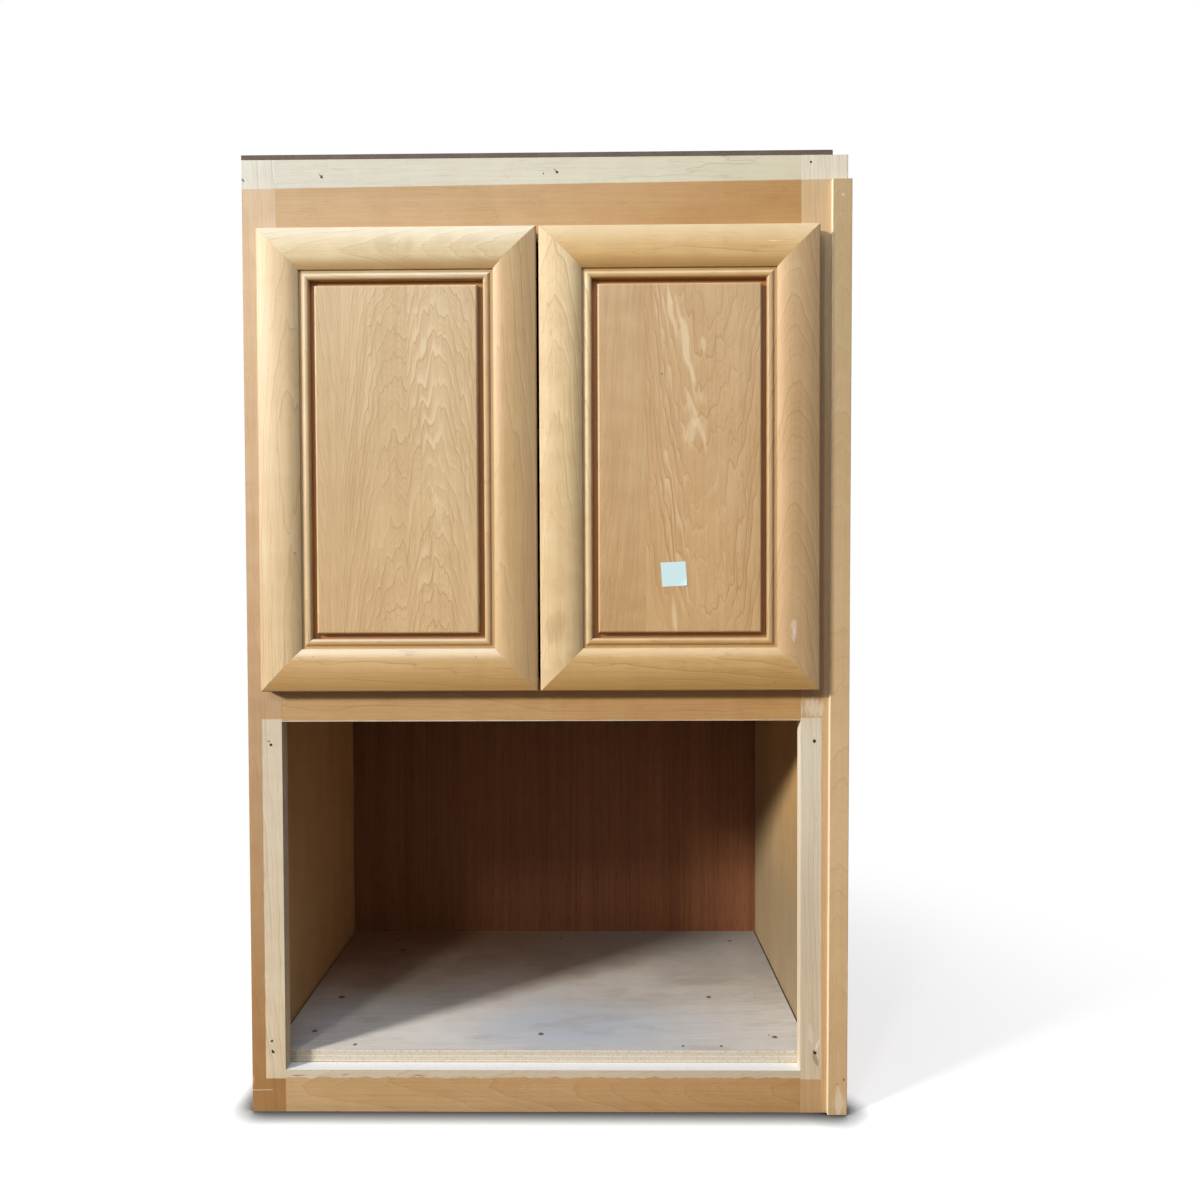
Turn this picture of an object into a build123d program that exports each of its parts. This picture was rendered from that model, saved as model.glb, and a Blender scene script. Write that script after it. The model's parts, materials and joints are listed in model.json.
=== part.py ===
from build123d import *
import os

# A face-framed kitchen wall cabinet with two doors over an open microwave bay.
# Millimetres. X to the right, Y into the cabinet, Z up. The origin is under the middle of the
# whole cabinet, on the plane that its bottom edges stand on.

# Overall sizes
frame_width = 762.0
frame_height = 1212.0
cabinet_depth = 457.0

# Face frame
frame_thickness = 19.0
left_stile_width = 43.3
right_stile_width = 58.4
top_rail_height = 105.8
mid_rail_height = 54.6
bottom_rail_height = 54.3
bay_height = 448.8
frame_arris = 0.6
dowel_radius = 4.0
dowel_length = 50.0
dowel_play = 1.0

# Carcass boards
side_thickness = 16.0
left_lip = 1.7
right_lip = 22.7
panel_thickness = 12.7
dado_depth = 6.0
back_thickness = 6.4
hang_rail_thickness = 19.0
hang_rail_height = 76.0
floor_board_thickness = 15.7
floor_board_play = 2.5
floor_board_setback = 1.0
top_sheet_thickness = 6.4
top_sheet_overhang = 3.5
glue_block_leg = 55.0
glue_block_height = 19.0

# Scribe strip on the right stile, nailed on a little out of plumb
strip_width = 24.4
strip_thickness = 6.4
strip_drop = 32.0
strip_overhang = 3.7
strip_lean = 4.4

# Nails and nail holes
brad_radius = 0.8
strip_brad_length = 20.0
strip_brad_count = 5
strip_brad_inset = 40.0
floor_nail_radius = 1.3
floor_nail_length = 24.0
floor_nail_inset_x = 48.0
floor_nail_front_inset = 42.0
floor_nail_back_inset = 40.0
nail_hole_radius = 0.9
nail_hole_depth = 8.0
trim_hole_radius = 1.2
trim_hole_depth = 12.0
trim_hole_side_offset = 17.0
trim_hole_end_inset = 25.0
old_nail_from_edge = 26.0
old_nail_above_bay_floor = 37.3
top_nail_drop = 20.0
top_nail_end_inset = 58.5
stile_nail_drop = 9.0
stile_nail_from_edge = 46.5

# Doors
side_overlay = 19.4
end_overlay = 14.2
gap_between_doors = 3.4
door_stand_off = 3.0
door_thickness = 22.0
door_edge = 15.6
edge_land = 1.3
edge_round = 1.2
back_ease = 2.0
crest_from_edge = 37.0
hump_width = 53.6
hump_foot_width = 0.6
hump_inner_height = 17.6
fillet_height = 15.6
fillet_width = 3.4
bead_height = 17.5
bead_rise_width = 4.3
bead_fall = 0.6
bead_inner_round = 3.6
member_width = 66.0
groove_depth = 10.0
groove_back = 3.5
groove_width = 6.0
panel_slip = 0.1
panel_play = 1.5
panel_reveal = 6.4
panel_front = 18.0
panel_arris = 3.0
spline_length = 36.0
spline_width = 16.0
spline_thickness = 3.0
spline_from_corner = 24.0
spline_level = 10.4
bumper_radius = 4.5
bumper_thickness = 2.7
bumper_side_inset = 25.0
bumper_end_inset = 7.0

# Concealed hinges
hinge_inset = 90.0
pin_from_edge = 9.0
pin_level = 9.0
pin_radius = 1.25
pin_half_length = 11.0
pin_seat_slip = 0.02
pin_running_slip = 0.05
knuckle_radius = 2.4
cup_radius = 17.5
cup_edge_distance = 3.0
cup_depth = 13.0
cup_wall = 1.2
cup_floor = 1.0
cup_slip = 0.05
lug_length = 13.0
lug_height = 5.5
lug_side_gap = 0.4
flange_thickness = 1.0
flange_radius = 18.9
flange_edge_distance = 4.0
flange_length = 57.0
flange_ear_width = 11.0
cup_screw_offset = 9.5
cup_screw_spacing = 45.0
arm_thickness = 2.0
arm_width = 14.0
arm_reach_below_door = 13.0
arm_leg_low = 9.5
arm_leg_high = 11.3
plate_front_inset = 1.5
plate_width = 16.0
plate_height = 44.0
plate_screw_spacing = 30.0
screw_radius = 1.7
screw_length = 14.0
screw_slip = 0.05
screw_head_radius = 3.4
screw_head_height = 1.8
spring_thickness = 0.6
spring_width = 10.0
spring_foot = 7.0
spring_rise = 4.0
spring_gap = 0.8

# Adjustable shelf
shelf_thickness = 16.0
shelf_end_play = 1.5
shelf_front_setback = 8.0
shelf_back_play = 4.0
shelf_edge_depth = 6.0
shelf_edge_round = 1.5
pin_hole_radius = 2.5
pin_hole_depth = 9.0
pin_hole_slip = 0.05
pin_hole_pitch = 32.0
pin_hole_count = 13
pin_hole_start = 142.0
pin_hole_front = 41.0
pin_hole_back = 50.0
shelf_hole_index = 5
shelf_pin_depth = 8.0
collar_radius = 4.0
collar_thickness = 1.2
spoon_length = 13.0
spoon_width = 8.0

# Places worked out from the sizes
overall_width = frame_width + strip_overhang
front_proud = door_stand_off + door_thickness
frame_left = -overall_width / 2
frame_right = frame_left + frame_width
frame_front = -(cabinet_depth + front_proud) / 2 + front_proud
frame_back = frame_front + frame_thickness
cabinet_back = frame_front + cabinet_depth
opening_left = frame_left + left_stile_width
opening_right = frame_right - right_stile_width
bay_floor_z = bottom_rail_height
bay_top_z = bay_floor_z + bay_height
deck_top_z = bay_top_z + mid_rail_height
top_rail_z = frame_height - top_rail_height
inner_left = frame_left + left_lip + side_thickness
inner_right = frame_right - right_lip - side_thickness
rail_front_y = cabinet_back - hang_rail_thickness
back_face_y = rail_front_y - back_thickness
bottom_panel_z = bay_floor_z - panel_thickness
floor_board_top_z = bay_floor_z + floor_board_thickness

door_back_y = frame_front - door_stand_off
door_width = (opening_right - opening_left + 2 * side_overlay - gap_between_doors) / 2
door_height = top_rail_z - deck_top_z + 2 * end_overlay
door_bottom_z = deck_top_z - end_overlay
door_top_z = door_bottom_z + door_height
door_middle_z = (door_bottom_z + door_top_z) / 2
groove_front = groove_back + groove_width
cup_centre = cup_edge_distance + cup_radius
hinge_heights = (door_bottom_z + hinge_inset, door_top_z - hinge_inset)
stile_edges = {"left": opening_left, "right": opening_right}
hinge_edges = {"left": opening_left - side_overlay, "right": opening_right + side_overlay}
inward_signs = {"left": 1, "right": -1}

frame_y = (frame_front, frame_back)
carcass_y = (frame_back, cabinet_back)
box_y = (frame_back, back_face_y)
inner_x = (inner_left, inner_right)
housed_x = (inner_left - dado_depth, inner_right + dado_depth)
pin_hole_rows = (frame_back + pin_hole_front, back_face_y - pin_hole_back)
pin_hole_heights = [deck_top_z + pin_hole_start + pin_hole_pitch * i for i in range(pin_hole_count)]
shelf_pin_z = pin_hole_heights[shelf_hole_index]
shelf_z = shelf_pin_z + pin_hole_radius


def middle(span):
    return (span[0] + span[1]) / 2


def block(x, y, z, mode=Mode.ADD):
    """A board that fills three spans, each a pair of low and high."""
    with Locations((middle(x), middle(y), middle(z))):
        Box(x[1] - x[0], y[1] - y[0], z[1] - z[0], mode=mode)


def rod(start, toward, radius, length, mode=Mode.ADD):
    """A round rod, or a hole, from a point along a direction."""
    with Locations(Plane(origin=start, z_dir=toward).location):
        Cylinder(radius, length, align=(Align.CENTER, Align.CENTER, Align.MIN), mode=mode)


def save(part, name):
    part.label = name
    export_step(part, f"parts/{name}.step")


os.makedirs("parts", exist_ok=True)

# Face frame: two full-height stiles with three rails dowelled between them

rail_spans = {
    "top_rail": (top_rail_z, frame_height),
    "mid_rail": (bay_top_z, deck_top_z),
    "bottom_rail": (0, bottom_rail_height),
}


def dowel_points():
    """Each dowel's inner end, in the stile, with its direction into the rail."""
    points = []
    for low, high in rail_spans.values():
        for share in (0.25, 0.75):
            height = low + (high - low) * share
            for edge, sign in ((opening_left, 1), (opening_right, -1)):
                start = (edge - sign * dowel_length / 2, middle(frame_y), height)
                points.append((start, (sign, 0, 0)))
    return points


def dowel_holes():
    for (x, y, z), toward in dowel_points():
        start = (x - toward[0] * dowel_play / 2, y, z)
        rod(start, toward, dowel_radius + screw_slip, dowel_length + dowel_play, Mode.SUBTRACT)


def front_hole(x, z, radius, depth):
    rod((x, frame_front, z), (0, 1, 0), radius, depth, Mode.SUBTRACT)


trim_hole_xs = {
    "left": opening_left - trim_hole_side_offset,
    "right": opening_right + trim_hole_side_offset,
}
trim_hole_zs = (bay_floor_z + trim_hole_end_inset, bay_top_z - trim_hole_end_inset)
strip_left_low = frame_right + strip_overhang - strip_width - strip_lean
strip_top_z = frame_height - strip_drop


def strip_brad_points():
    """Brads down the middle of the scribe strip, on its leaning centre line."""
    points = []
    for i in range(strip_brad_count):
        share = i / (strip_brad_count - 1)
        z = strip_brad_inset + share * (strip_top_z - 2 * strip_brad_inset)
        x = strip_left_low + strip_width / 2 + strip_lean * z / strip_top_z
        points.append((x, frame_front - strip_thickness, z))
    return points


def strip_brad_holes():
    for point in strip_brad_points():
        rod(point, (0, 1, 0), brad_radius + screw_slip, strip_brad_length, Mode.SUBTRACT)


def plate_screw_points(side):
    """Where each arm screw's head meets the hinge plate on one stile."""
    x = stile_edges[side] + inward_signs[side] * arm_thickness
    y = frame_front + plate_front_inset + plate_width / 2
    offsets = (-plate_screw_spacing / 2, plate_screw_spacing / 2)
    return [(x, y, height + offset) for height in hinge_heights for offset in offsets]


def stile(side, x, outer_edge):
    with BuildPart() as made:
        block(x, frame_y, (0, frame_height))
        front_edges = made.edges().filter_by(Axis.Z).group_by(Axis.Y)[0]
        chamfer(front_edges.sort_by(Axis.X)[outer_edge], frame_arris)
        dowel_holes()
        for z in trim_hole_zs:
            front_hole(trim_hole_xs[side], z, trim_hole_radius, trim_hole_depth)
        for point in plate_screw_points(side):
            toward = (-inward_signs[side], 0, 0)
            rod(point, toward, screw_radius + screw_slip, screw_length, Mode.SUBTRACT)
        if side == "left":
            old_nail_z = bay_floor_z + old_nail_above_bay_floor
            front_hole(frame_left + old_nail_from_edge, old_nail_z, nail_hole_radius, nail_hole_depth)
        else:
            strip_brad_holes()
            stile_nail_x = frame_right - stile_nail_from_edge
            front_hole(stile_nail_x, frame_height - stile_nail_drop, nail_hole_radius, nail_hole_depth)
    return made.part


save(stile("left", (frame_left, opening_left), 0), "left_stile")
save(stile("right", (opening_right, frame_right), -1), "right_stile")

for name, span in rail_spans.items():
    with BuildPart() as rail:
        block((opening_left, opening_right), frame_y, span)
        dowel_holes()
        if name == "top_rail":
            for x in (opening_left + top_nail_end_inset, middle((frame_left, frame_right))):
                front_hole(x, frame_height - top_nail_drop, nail_hole_radius, nail_hole_depth)
    save(rail.part, name)

with BuildPart() as frame_dowels:
    for start, toward in dowel_points():
        rod(start, toward, dowel_radius, dowel_length)
save(frame_dowels.part, "frame_dowels")

with BuildPart() as scribe_strip:
    with BuildSketch(Plane.XZ.offset(-frame_front)):
        with BuildLine():
            Polyline(
                (strip_left_low, 0),
                (strip_left_low + strip_width, 0),
                (strip_left_low + strip_width + strip_lean, strip_top_z),
                (strip_left_low + strip_lean, strip_top_z),
                close=True,
            )
        make_face()
    extrude(amount=strip_thickness)
    chamfer(scribe_strip.edges().group_by(Axis.Y)[0], frame_arris)
    strip_brad_holes()
save(scribe_strip.part, "scribe_strip")

with BuildPart() as strip_brads:
    for point in strip_brad_points():
        rod(point, (0, 1, 0), brad_radius, strip_brad_length)
save(strip_brads.part, "strip_brads")

# Carcass: two sides housed for a bottom, a fixed deck and the back


def side_board(x, face_x, sign):
    """One side, with its inner face at face_x. The dados and pin holes go away from the room."""
    dado_x = sorted((face_x, face_x - sign * dado_depth))
    with BuildPart() as made:
        block(x, carcass_y, (0, frame_height))
        block(dado_x, box_y, (bottom_panel_z, bay_floor_z), Mode.SUBTRACT)
        block(dado_x, box_y, (deck_top_z - panel_thickness, deck_top_z), Mode.SUBTRACT)
        block(dado_x, (back_face_y, rail_front_y), (bottom_panel_z, frame_height), Mode.SUBTRACT)
        for y in pin_hole_rows:
            for z in pin_hole_heights:
                radius = pin_hole_radius + pin_hole_slip
                rod((face_x, y, z), (-sign, 0, 0), radius, pin_hole_depth, Mode.SUBTRACT)
    return made.part


save(side_board((inner_left - side_thickness, inner_left), inner_left, 1), "left_side")
save(side_board((inner_right, inner_right + side_thickness), inner_right, -1), "right_side")


def floor_nail_points():
    """Nail heads in the floor board's top, in two rows of three and one pair between."""
    xs = (inner_left + floor_nail_inset_x, middle(inner_x), inner_right - floor_nail_inset_x)
    front_y = frame_back + floor_nail_front_inset
    back_y = back_face_y - floor_nail_back_inset
    middle_y = front_y + (back_y - front_y) / 3
    spots = [(x, y) for y in (front_y, back_y) for x in xs]
    spots += [(x, middle_y) for x in (xs[0], xs[2])]
    return [(x, y, floor_board_top_z) for x, y in spots]


def floor_nail_holes():
    for point in floor_nail_points():
        rod(point, (0, 0, -1), floor_nail_radius + screw_slip, floor_nail_length, Mode.SUBTRACT)


with BuildPart() as bottom_panel:
    block(housed_x, box_y, (bottom_panel_z, bay_floor_z))
    floor_nail_holes()
save(bottom_panel.part, "bottom_panel")

with BuildPart() as bay_floor_board:
    board_x = (inner_left + floor_board_play, inner_right - floor_board_play)
    board_y = (frame_back + floor_board_setback, back_face_y)
    block(board_x, board_y, (bay_floor_z, floor_board_top_z))
    floor_nail_holes()
save(bay_floor_board.part, "bay_floor_board")

with BuildPart() as floor_board_nails:
    for point in floor_nail_points():
        rod(point, (0, 0, -1), floor_nail_radius, floor_nail_length)
save(floor_board_nails.part, "floor_board_nails")

with BuildPart() as fixed_deck:
    block(housed_x, box_y, (deck_top_z - panel_thickness, deck_top_z))
save(fixed_deck.part, "fixed_deck")

with BuildPart() as back_panel:
    block(housed_x, (back_face_y, rail_front_y), (bottom_panel_z, frame_height))
save(back_panel.part, "back_panel")

hang_rail_bottoms = {
    "top_hang_rail": frame_height - hang_rail_height,
    "mid_hang_rail": deck_top_z - hang_rail_height / 2,
    "bottom_hang_rail": 0,
}
for name, low in hang_rail_bottoms.items():
    with BuildPart() as hang_rail:
        block(inner_x, (rail_front_y, cabinet_back), (low, low + hang_rail_height))
    save(hang_rail.part, name)

with BuildPart() as top_sheet:
    sheet_x = (frame_left, inner_right + side_thickness + top_sheet_overhang)
    block(sheet_x, (frame_front, cabinet_back), (frame_height, frame_height + top_sheet_thickness))
save(top_sheet.part, "top_sheet")


def glue_blocks(low, back_y):
    """Four three-cornered blocks glued into the corners of the box."""
    with BuildPart() as made:
        with BuildSketch(Plane.XY.offset(low)):
            for x, sx in ((inner_left, 1), (inner_right, -1)):
                for y, sy in ((frame_back, 1), (back_y, -1)):
                    with BuildLine():
                        Polyline(
                            (x, y),
                            (x + sx * glue_block_leg, y),
                            (x, y + sy * glue_block_leg),
                            close=True,
                        )
                    make_face()
        extrude(amount=glue_block_height)
    return made.part


save(glue_blocks(bottom_panel_z - glue_block_height, rail_front_y), "bottom_glue_blocks")
save(glue_blocks(frame_height - glue_block_height, back_face_y), "top_glue_blocks")

# Adjustable shelf on four pins, and the pins that stay in the sides

shelf_x = (inner_left + shelf_end_play, inner_right - shelf_end_play)
shelf_front_y = frame_back + shelf_front_setback
shelf_edge_y = shelf_front_y + shelf_edge_depth

with BuildPart() as adjustable_shelf:
    block(shelf_x, (shelf_edge_y, back_face_y - shelf_back_play), (shelf_z, shelf_z + shelf_thickness))
save(adjustable_shelf.part, "adjustable_shelf")

with BuildPart() as shelf_front_edge:
    block(shelf_x, (shelf_front_y, shelf_edge_y), (shelf_z, shelf_z + shelf_thickness))
    fillet(shelf_front_edge.edges().filter_by(Axis.X).group_by(Axis.Y)[0], shelf_edge_round)
save(shelf_front_edge.part, "shelf_front_edge")

with BuildPart() as shelf_pins:
    for x, sign in ((inner_left, 1), (inner_right, -1)):
        for y in pin_hole_rows:
            rod((x, y, shelf_pin_z), (-sign, 0, 0), pin_hole_radius, shelf_pin_depth)
            rod((x, y, shelf_pin_z), (sign, 0, 0), collar_radius, collar_thickness)
            spoon_x = sorted((x, x + sign * spoon_length))
            spoon_y = (y - spoon_width / 2, y + spoon_width / 2)
            block(spoon_x, spoon_y, (shelf_pin_z, shelf_z))
save(shelf_pins.part, "shelf_pins")

# Doors: four mitred members round a floating raised panel

front = Vector(0, -1, 0)


def door_face(side):
    """The plane of a door's back, centred on the door. It faces the room."""
    centre_x = hinge_edges[side] + inward_signs[side] * door_width / 2
    return Plane(origin=(centre_x, door_back_y, door_middle_z), x_dir=(1, 0, 0), z_dir=front)


def hinge_plan(side, height):
    """A level plane at a hinge: X from the hinge edge inward, Y from the back to the front."""
    sign = inward_signs[side]
    origin = (hinge_edges[side], door_back_y, height)
    return Plane(origin=origin, x_dir=(sign, 0, 0), z_dir=(0, 0, -sign))


def hinge_face(side, height):
    """The door's back at a hinge: X from the hinge edge inward, Z to the front."""
    origin = (hinge_edges[side], door_back_y, height)
    return Plane(origin=origin, x_dir=(inward_signs[side], 0, 0), z_dir=front)


def member_section(plane):
    """The moulded section: a broad hump, a fillet, a rounded bead, and the groove for the panel."""
    crest = (crest_from_edge, door_thickness)
    hump_end = (hump_width - hump_foot_width, hump_inner_height)
    land_end = (edge_land, door_edge)
    fillet_end = (hump_width + fillet_width, fillet_height)
    bead_crest = (fillet_end[0] + bead_rise_width, bead_height)
    groove_corner = (member_width, groove_front)
    with BuildSketch(plane) as section:
        with BuildLine():
            TangentArc(crest, hump_end, tangent=(1, 0))
            Polyline(hump_end, (hump_width, fillet_height), fillet_end)
            TangentArc(bead_crest, fillet_end, tangent=(-1, 0))
            FilletPolyline(
                bead_crest,
                (member_width, bead_height - bead_fall),
                groove_corner,
                radius=bead_inner_round,
            )
            Polyline(
                groove_corner,
                (member_width - groove_depth, groove_front),
                (member_width - groove_depth, groove_back),
                (member_width, groove_back),
                (member_width, 0),
                (back_ease, 0),
                (0, back_ease),
                (0, door_edge - edge_round),
                land_end,
            )
            TangentArc(crest, land_end, tangent=(-1, 0))
        make_face()
    return section.sketch


def spline_slots(face, slip):
    """The outlines of the four flat splines across a door's mitres."""
    with BuildSketch(face.offset(spline_level - slip)) as slots:
        for sx in (-1, 1):
            for sy in (-1, 1):
                x = sx * (door_width / 2 - spline_from_corner)
                y = sy * (door_height / 2 - spline_from_corner)
                with Locations((x, y)):
                    Rectangle(spline_length + 2 * slip, spline_width + 2 * slip, rotation=-45 * sx * sy)
    return slots.sketch


def cup_screw_points(side):
    """Where each cup screw's head meets the cup's flange."""
    points = []
    for height in hinge_heights:
        face = hinge_face(side, height).offset(-flange_thickness)
        for offset in (-cup_screw_spacing / 2, cup_screw_spacing / 2):
            points.append(face.from_local_coords((cup_centre + cup_screw_offset, offset, 0)))
    return points


def door_member(side, edge_x, edge_z, length, holds_hinges):
    """One mitred member. Its outer edge lies edge_x and edge_z from the door's centre."""
    face = door_face(side)
    edge_middle = face.from_local_coords((edge_x, edge_z, 0))
    inward = Vector(-edge_x, 0, -edge_z).normalized()
    along = inward.cross(front)
    back = Plane(origin=edge_middle, x_dir=along, z_dir=front)
    with BuildPart() as made:
        extrude(member_section(Plane(origin=edge_middle, x_dir=inward, z_dir=along)), length / 2, both=True)
        with BuildSketch(back):
            with BuildLine():
                Polyline(
                    (-length / 2, 0),
                    (length / 2, 0),
                    (length / 2 - member_width, member_width),
                    (member_width - length / 2, member_width),
                    close=True,
                )
            make_face()
        extrude(amount=door_thickness, mode=Mode.INTERSECT)
        extrude(spline_slots(face, panel_slip), spline_thickness + 2 * panel_slip, mode=Mode.SUBTRACT)
        if holds_hinges:
            for height in hinge_heights:
                with BuildSketch(hinge_face(side, height)):
                    with Locations((cup_centre, 0)):
                        Circle(cup_radius + cup_slip)
                extrude(amount=cup_depth + cup_slip, mode=Mode.SUBTRACT)
            for point in cup_screw_points(side):
                rod(point, front, screw_radius + screw_slip, screw_length, Mode.SUBTRACT)
    return made.part


def door_panel(side):
    """The raised panel: a field, and a tongue all round that floats in the grooves."""
    face = door_face(side)
    tongue_inset = member_width - groove_depth + panel_play
    field_inset = member_width + panel_reveal
    with BuildPart() as made:
        with BuildSketch(face.offset(groove_back + panel_slip)):
            Rectangle(door_width - 2 * tongue_inset, door_height - 2 * tongue_inset)
        extrude(amount=groove_width - 2 * panel_slip)
        with BuildSketch(face.offset(groove_back + panel_slip)):
            Rectangle(door_width - 2 * field_inset, door_height - 2 * field_inset)
        extrude(amount=panel_front - groove_back - panel_slip)
        fillet(made.faces().sort_by(Axis.Y)[0].edges(), panel_arris)
    return made.part


def door_bumpers(side):
    """Two soft buttons at the free corners that land on the rails."""
    sign = inward_signs[side]
    x = sign * (door_width / 2 - bumper_side_inset)
    z = door_height / 2 - bumper_end_inset
    with BuildPart() as made:
        with BuildSketch(door_face(side)):
            with Locations((x, z), (x, -z)):
                Circle(bumper_radius)
        extrude(amount=-bumper_thickness)
        fillet(made.faces().group_by(Axis.Y)[-1].edges(), bumper_thickness / 3)
    return made.part


for side, sign in inward_signs.items():
    half_width = door_width / 2
    half_height = door_height / 2
    members = {
        "hinge_stile": (-sign * half_width, 0, door_height, True),
        "free_stile": (sign * half_width, 0, door_height, False),
        "top_rail": (0, half_height, door_width, False),
        "bottom_rail": (0, -half_height, door_width, False),
    }
    for name, placing in members.items():
        save(door_member(side, *placing), f"{side}_door_{name}")
    save(door_panel(side), f"{side}_door_panel")
    save(door_bumpers(side), f"{side}_door_bumpers")
    with BuildPart() as door_splines:
        extrude(spline_slots(door_face(side), 0), spline_thickness)
    save(door_splines.part, f"{side}_door_splines")

# Hinges: a cup let into the door and an arm on the stile's inner edge, joined by a real pin


def hinge_cup(side, height):
    """A pressed cup with a flange, two ears, and two lugs inside that hold the pin's ends."""
    face = hinge_face(side, height)
    plan = hinge_plan(side, height)
    ear_x = cup_centre + cup_screw_offset
    with BuildPart() as made:
        with BuildSketch(face):
            with Locations((cup_centre, 0)):
                Circle(cup_radius)
        extrude(amount=cup_depth)
        with BuildSketch(face):
            with Locations((cup_centre, 0)):
                Circle(flange_radius)
            with Locations((ear_x, 0)):
                SlotOverall(flange_length, flange_ear_width, rotation=90)
            with Locations((flange_edge_distance, 0)):
                Rectangle(flange_radius, flange_length, align=(Align.MAX, Align.CENTER), mode=Mode.SUBTRACT)
            with Locations((ear_x, -cup_screw_spacing / 2), (ear_x, cup_screw_spacing / 2)):
                Circle(screw_radius + screw_slip, mode=Mode.SUBTRACT)
        extrude(amount=-flange_thickness)
        with BuildSketch(face.offset(cup_depth - cup_floor)):
            with Locations((cup_centre, 0)):
                Circle(cup_radius - cup_wall)
        extrude(amount=cup_floor - cup_depth - flange_thickness, mode=Mode.SUBTRACT)
        with BuildSketch(face.offset(cup_depth - cup_floor)):
            with Locations((lug_length / 2, 0)):
                Rectangle(lug_length, 2 * cup_radius)
                Rectangle(lug_length, arm_width + 2 * lug_side_gap, mode=Mode.SUBTRACT)
            with Locations((cup_centre, 0)):
                Circle(cup_radius - cup_wall / 2, mode=Mode.INTERSECT)
        extrude(amount=-lug_height)
        with BuildSketch(plan):
            with Locations((pin_from_edge, pin_level)):
                Circle(pin_radius + pin_seat_slip)
        extrude(amount=pin_half_length, both=True, mode=Mode.SUBTRACT)
    return made.part


def hinge_arm(side, height):
    """A plate on the stile's edge with a gooseneck arm that ends in a knuckle round the pin."""
    plan = hinge_plan(side, height)
    neck_near = side_overlay + arm_thickness
    neck_far = neck_near + arm_thickness
    plate_near = -door_stand_off - plate_front_inset
    with BuildPart() as made:
        with BuildSketch(plan):
            with Locations((side_overlay, plate_near)):
                Rectangle(arm_thickness, plate_width, align=(Align.MIN, Align.MAX))
        extrude(amount=plate_height / 2, both=True)
        with BuildSketch(plan):
            with BuildLine():
                Polyline(
                    (neck_near, -arm_reach_below_door),
                    (neck_far, -arm_reach_below_door),
                    (neck_far, arm_leg_high),
                    (pin_from_edge, arm_leg_high),
                    (pin_from_edge, arm_leg_low),
                    (neck_near, arm_leg_low),
                    close=True,
                )
            make_face()
            with Locations((pin_from_edge, pin_level)):
                Circle(knuckle_radius)
        extrude(amount=arm_width / 2, both=True)
        with BuildSketch(plan):
            with Locations((pin_from_edge, pin_level)):
                Circle(pin_radius + pin_running_slip)
        extrude(amount=arm_width / 2, both=True, mode=Mode.SUBTRACT)
        for point in plate_screw_points(side):
            toward = (-inward_signs[side], 0, 0)
            rod(point, toward, screw_radius + screw_slip, arm_thickness, Mode.SUBTRACT)
    return made.part


def hinge_springs(side):
    """A bent leaf on each cup's floor, behind the arm, that snaps the door shut."""
    floor = cup_depth - cup_floor
    root = side_overlay + 2 * arm_thickness + spring_gap
    bend = root + spring_rise
    with BuildPart() as made:
        for height in hinge_heights:
            with BuildSketch(hinge_plan(side, height)):
                with BuildLine():
                    Polyline(
                        (bend + spring_foot, floor),
                        (bend, floor),
                        (root, floor - spring_rise),
                        (root, floor - spring_rise - spring_thickness),
                        (bend + spring_thickness, floor - spring_thickness),
                        (bend + spring_foot, floor - spring_thickness),
                        close=True,
                    )
                make_face()
        extrude(amount=spring_width / 2, both=True)
    return made.part


def screws(points, toward):
    """Pan-head screws whose heads sit on the given points."""
    away = -Vector(toward)
    with BuildPart() as made:
        for point in points:
            rod(point, toward, screw_radius, screw_length)
            rod(point, away, screw_head_radius, screw_head_height)
    return made.part


for side, sign in inward_signs.items():
    for place, height in zip(("lower", "upper"), hinge_heights):
        save(hinge_cup(side, height), f"{side}_{place}_hinge_cup")
        save(hinge_arm(side, height), f"{side}_{place}_hinge_arm")
    save(hinge_springs(side), f"{side}_hinge_springs")
    with BuildPart() as hinge_pins:
        for height in hinge_heights:
            with BuildSketch(hinge_plan(side, height)):
                with Locations((pin_from_edge, pin_level)):
                    Circle(pin_radius)
        extrude(amount=pin_half_length, both=True)
    save(hinge_pins.part, f"{side}_hinge_pins")
    save(screws(cup_screw_points(side), front), f"{side}_cup_screws")
    save(screws(plate_screw_points(side), (-sign, 0, 0)), f"{side}_plate_screws")
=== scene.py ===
import json
import math

import bmesh
import bpy
from mathutils import Matrix, Vector

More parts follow.
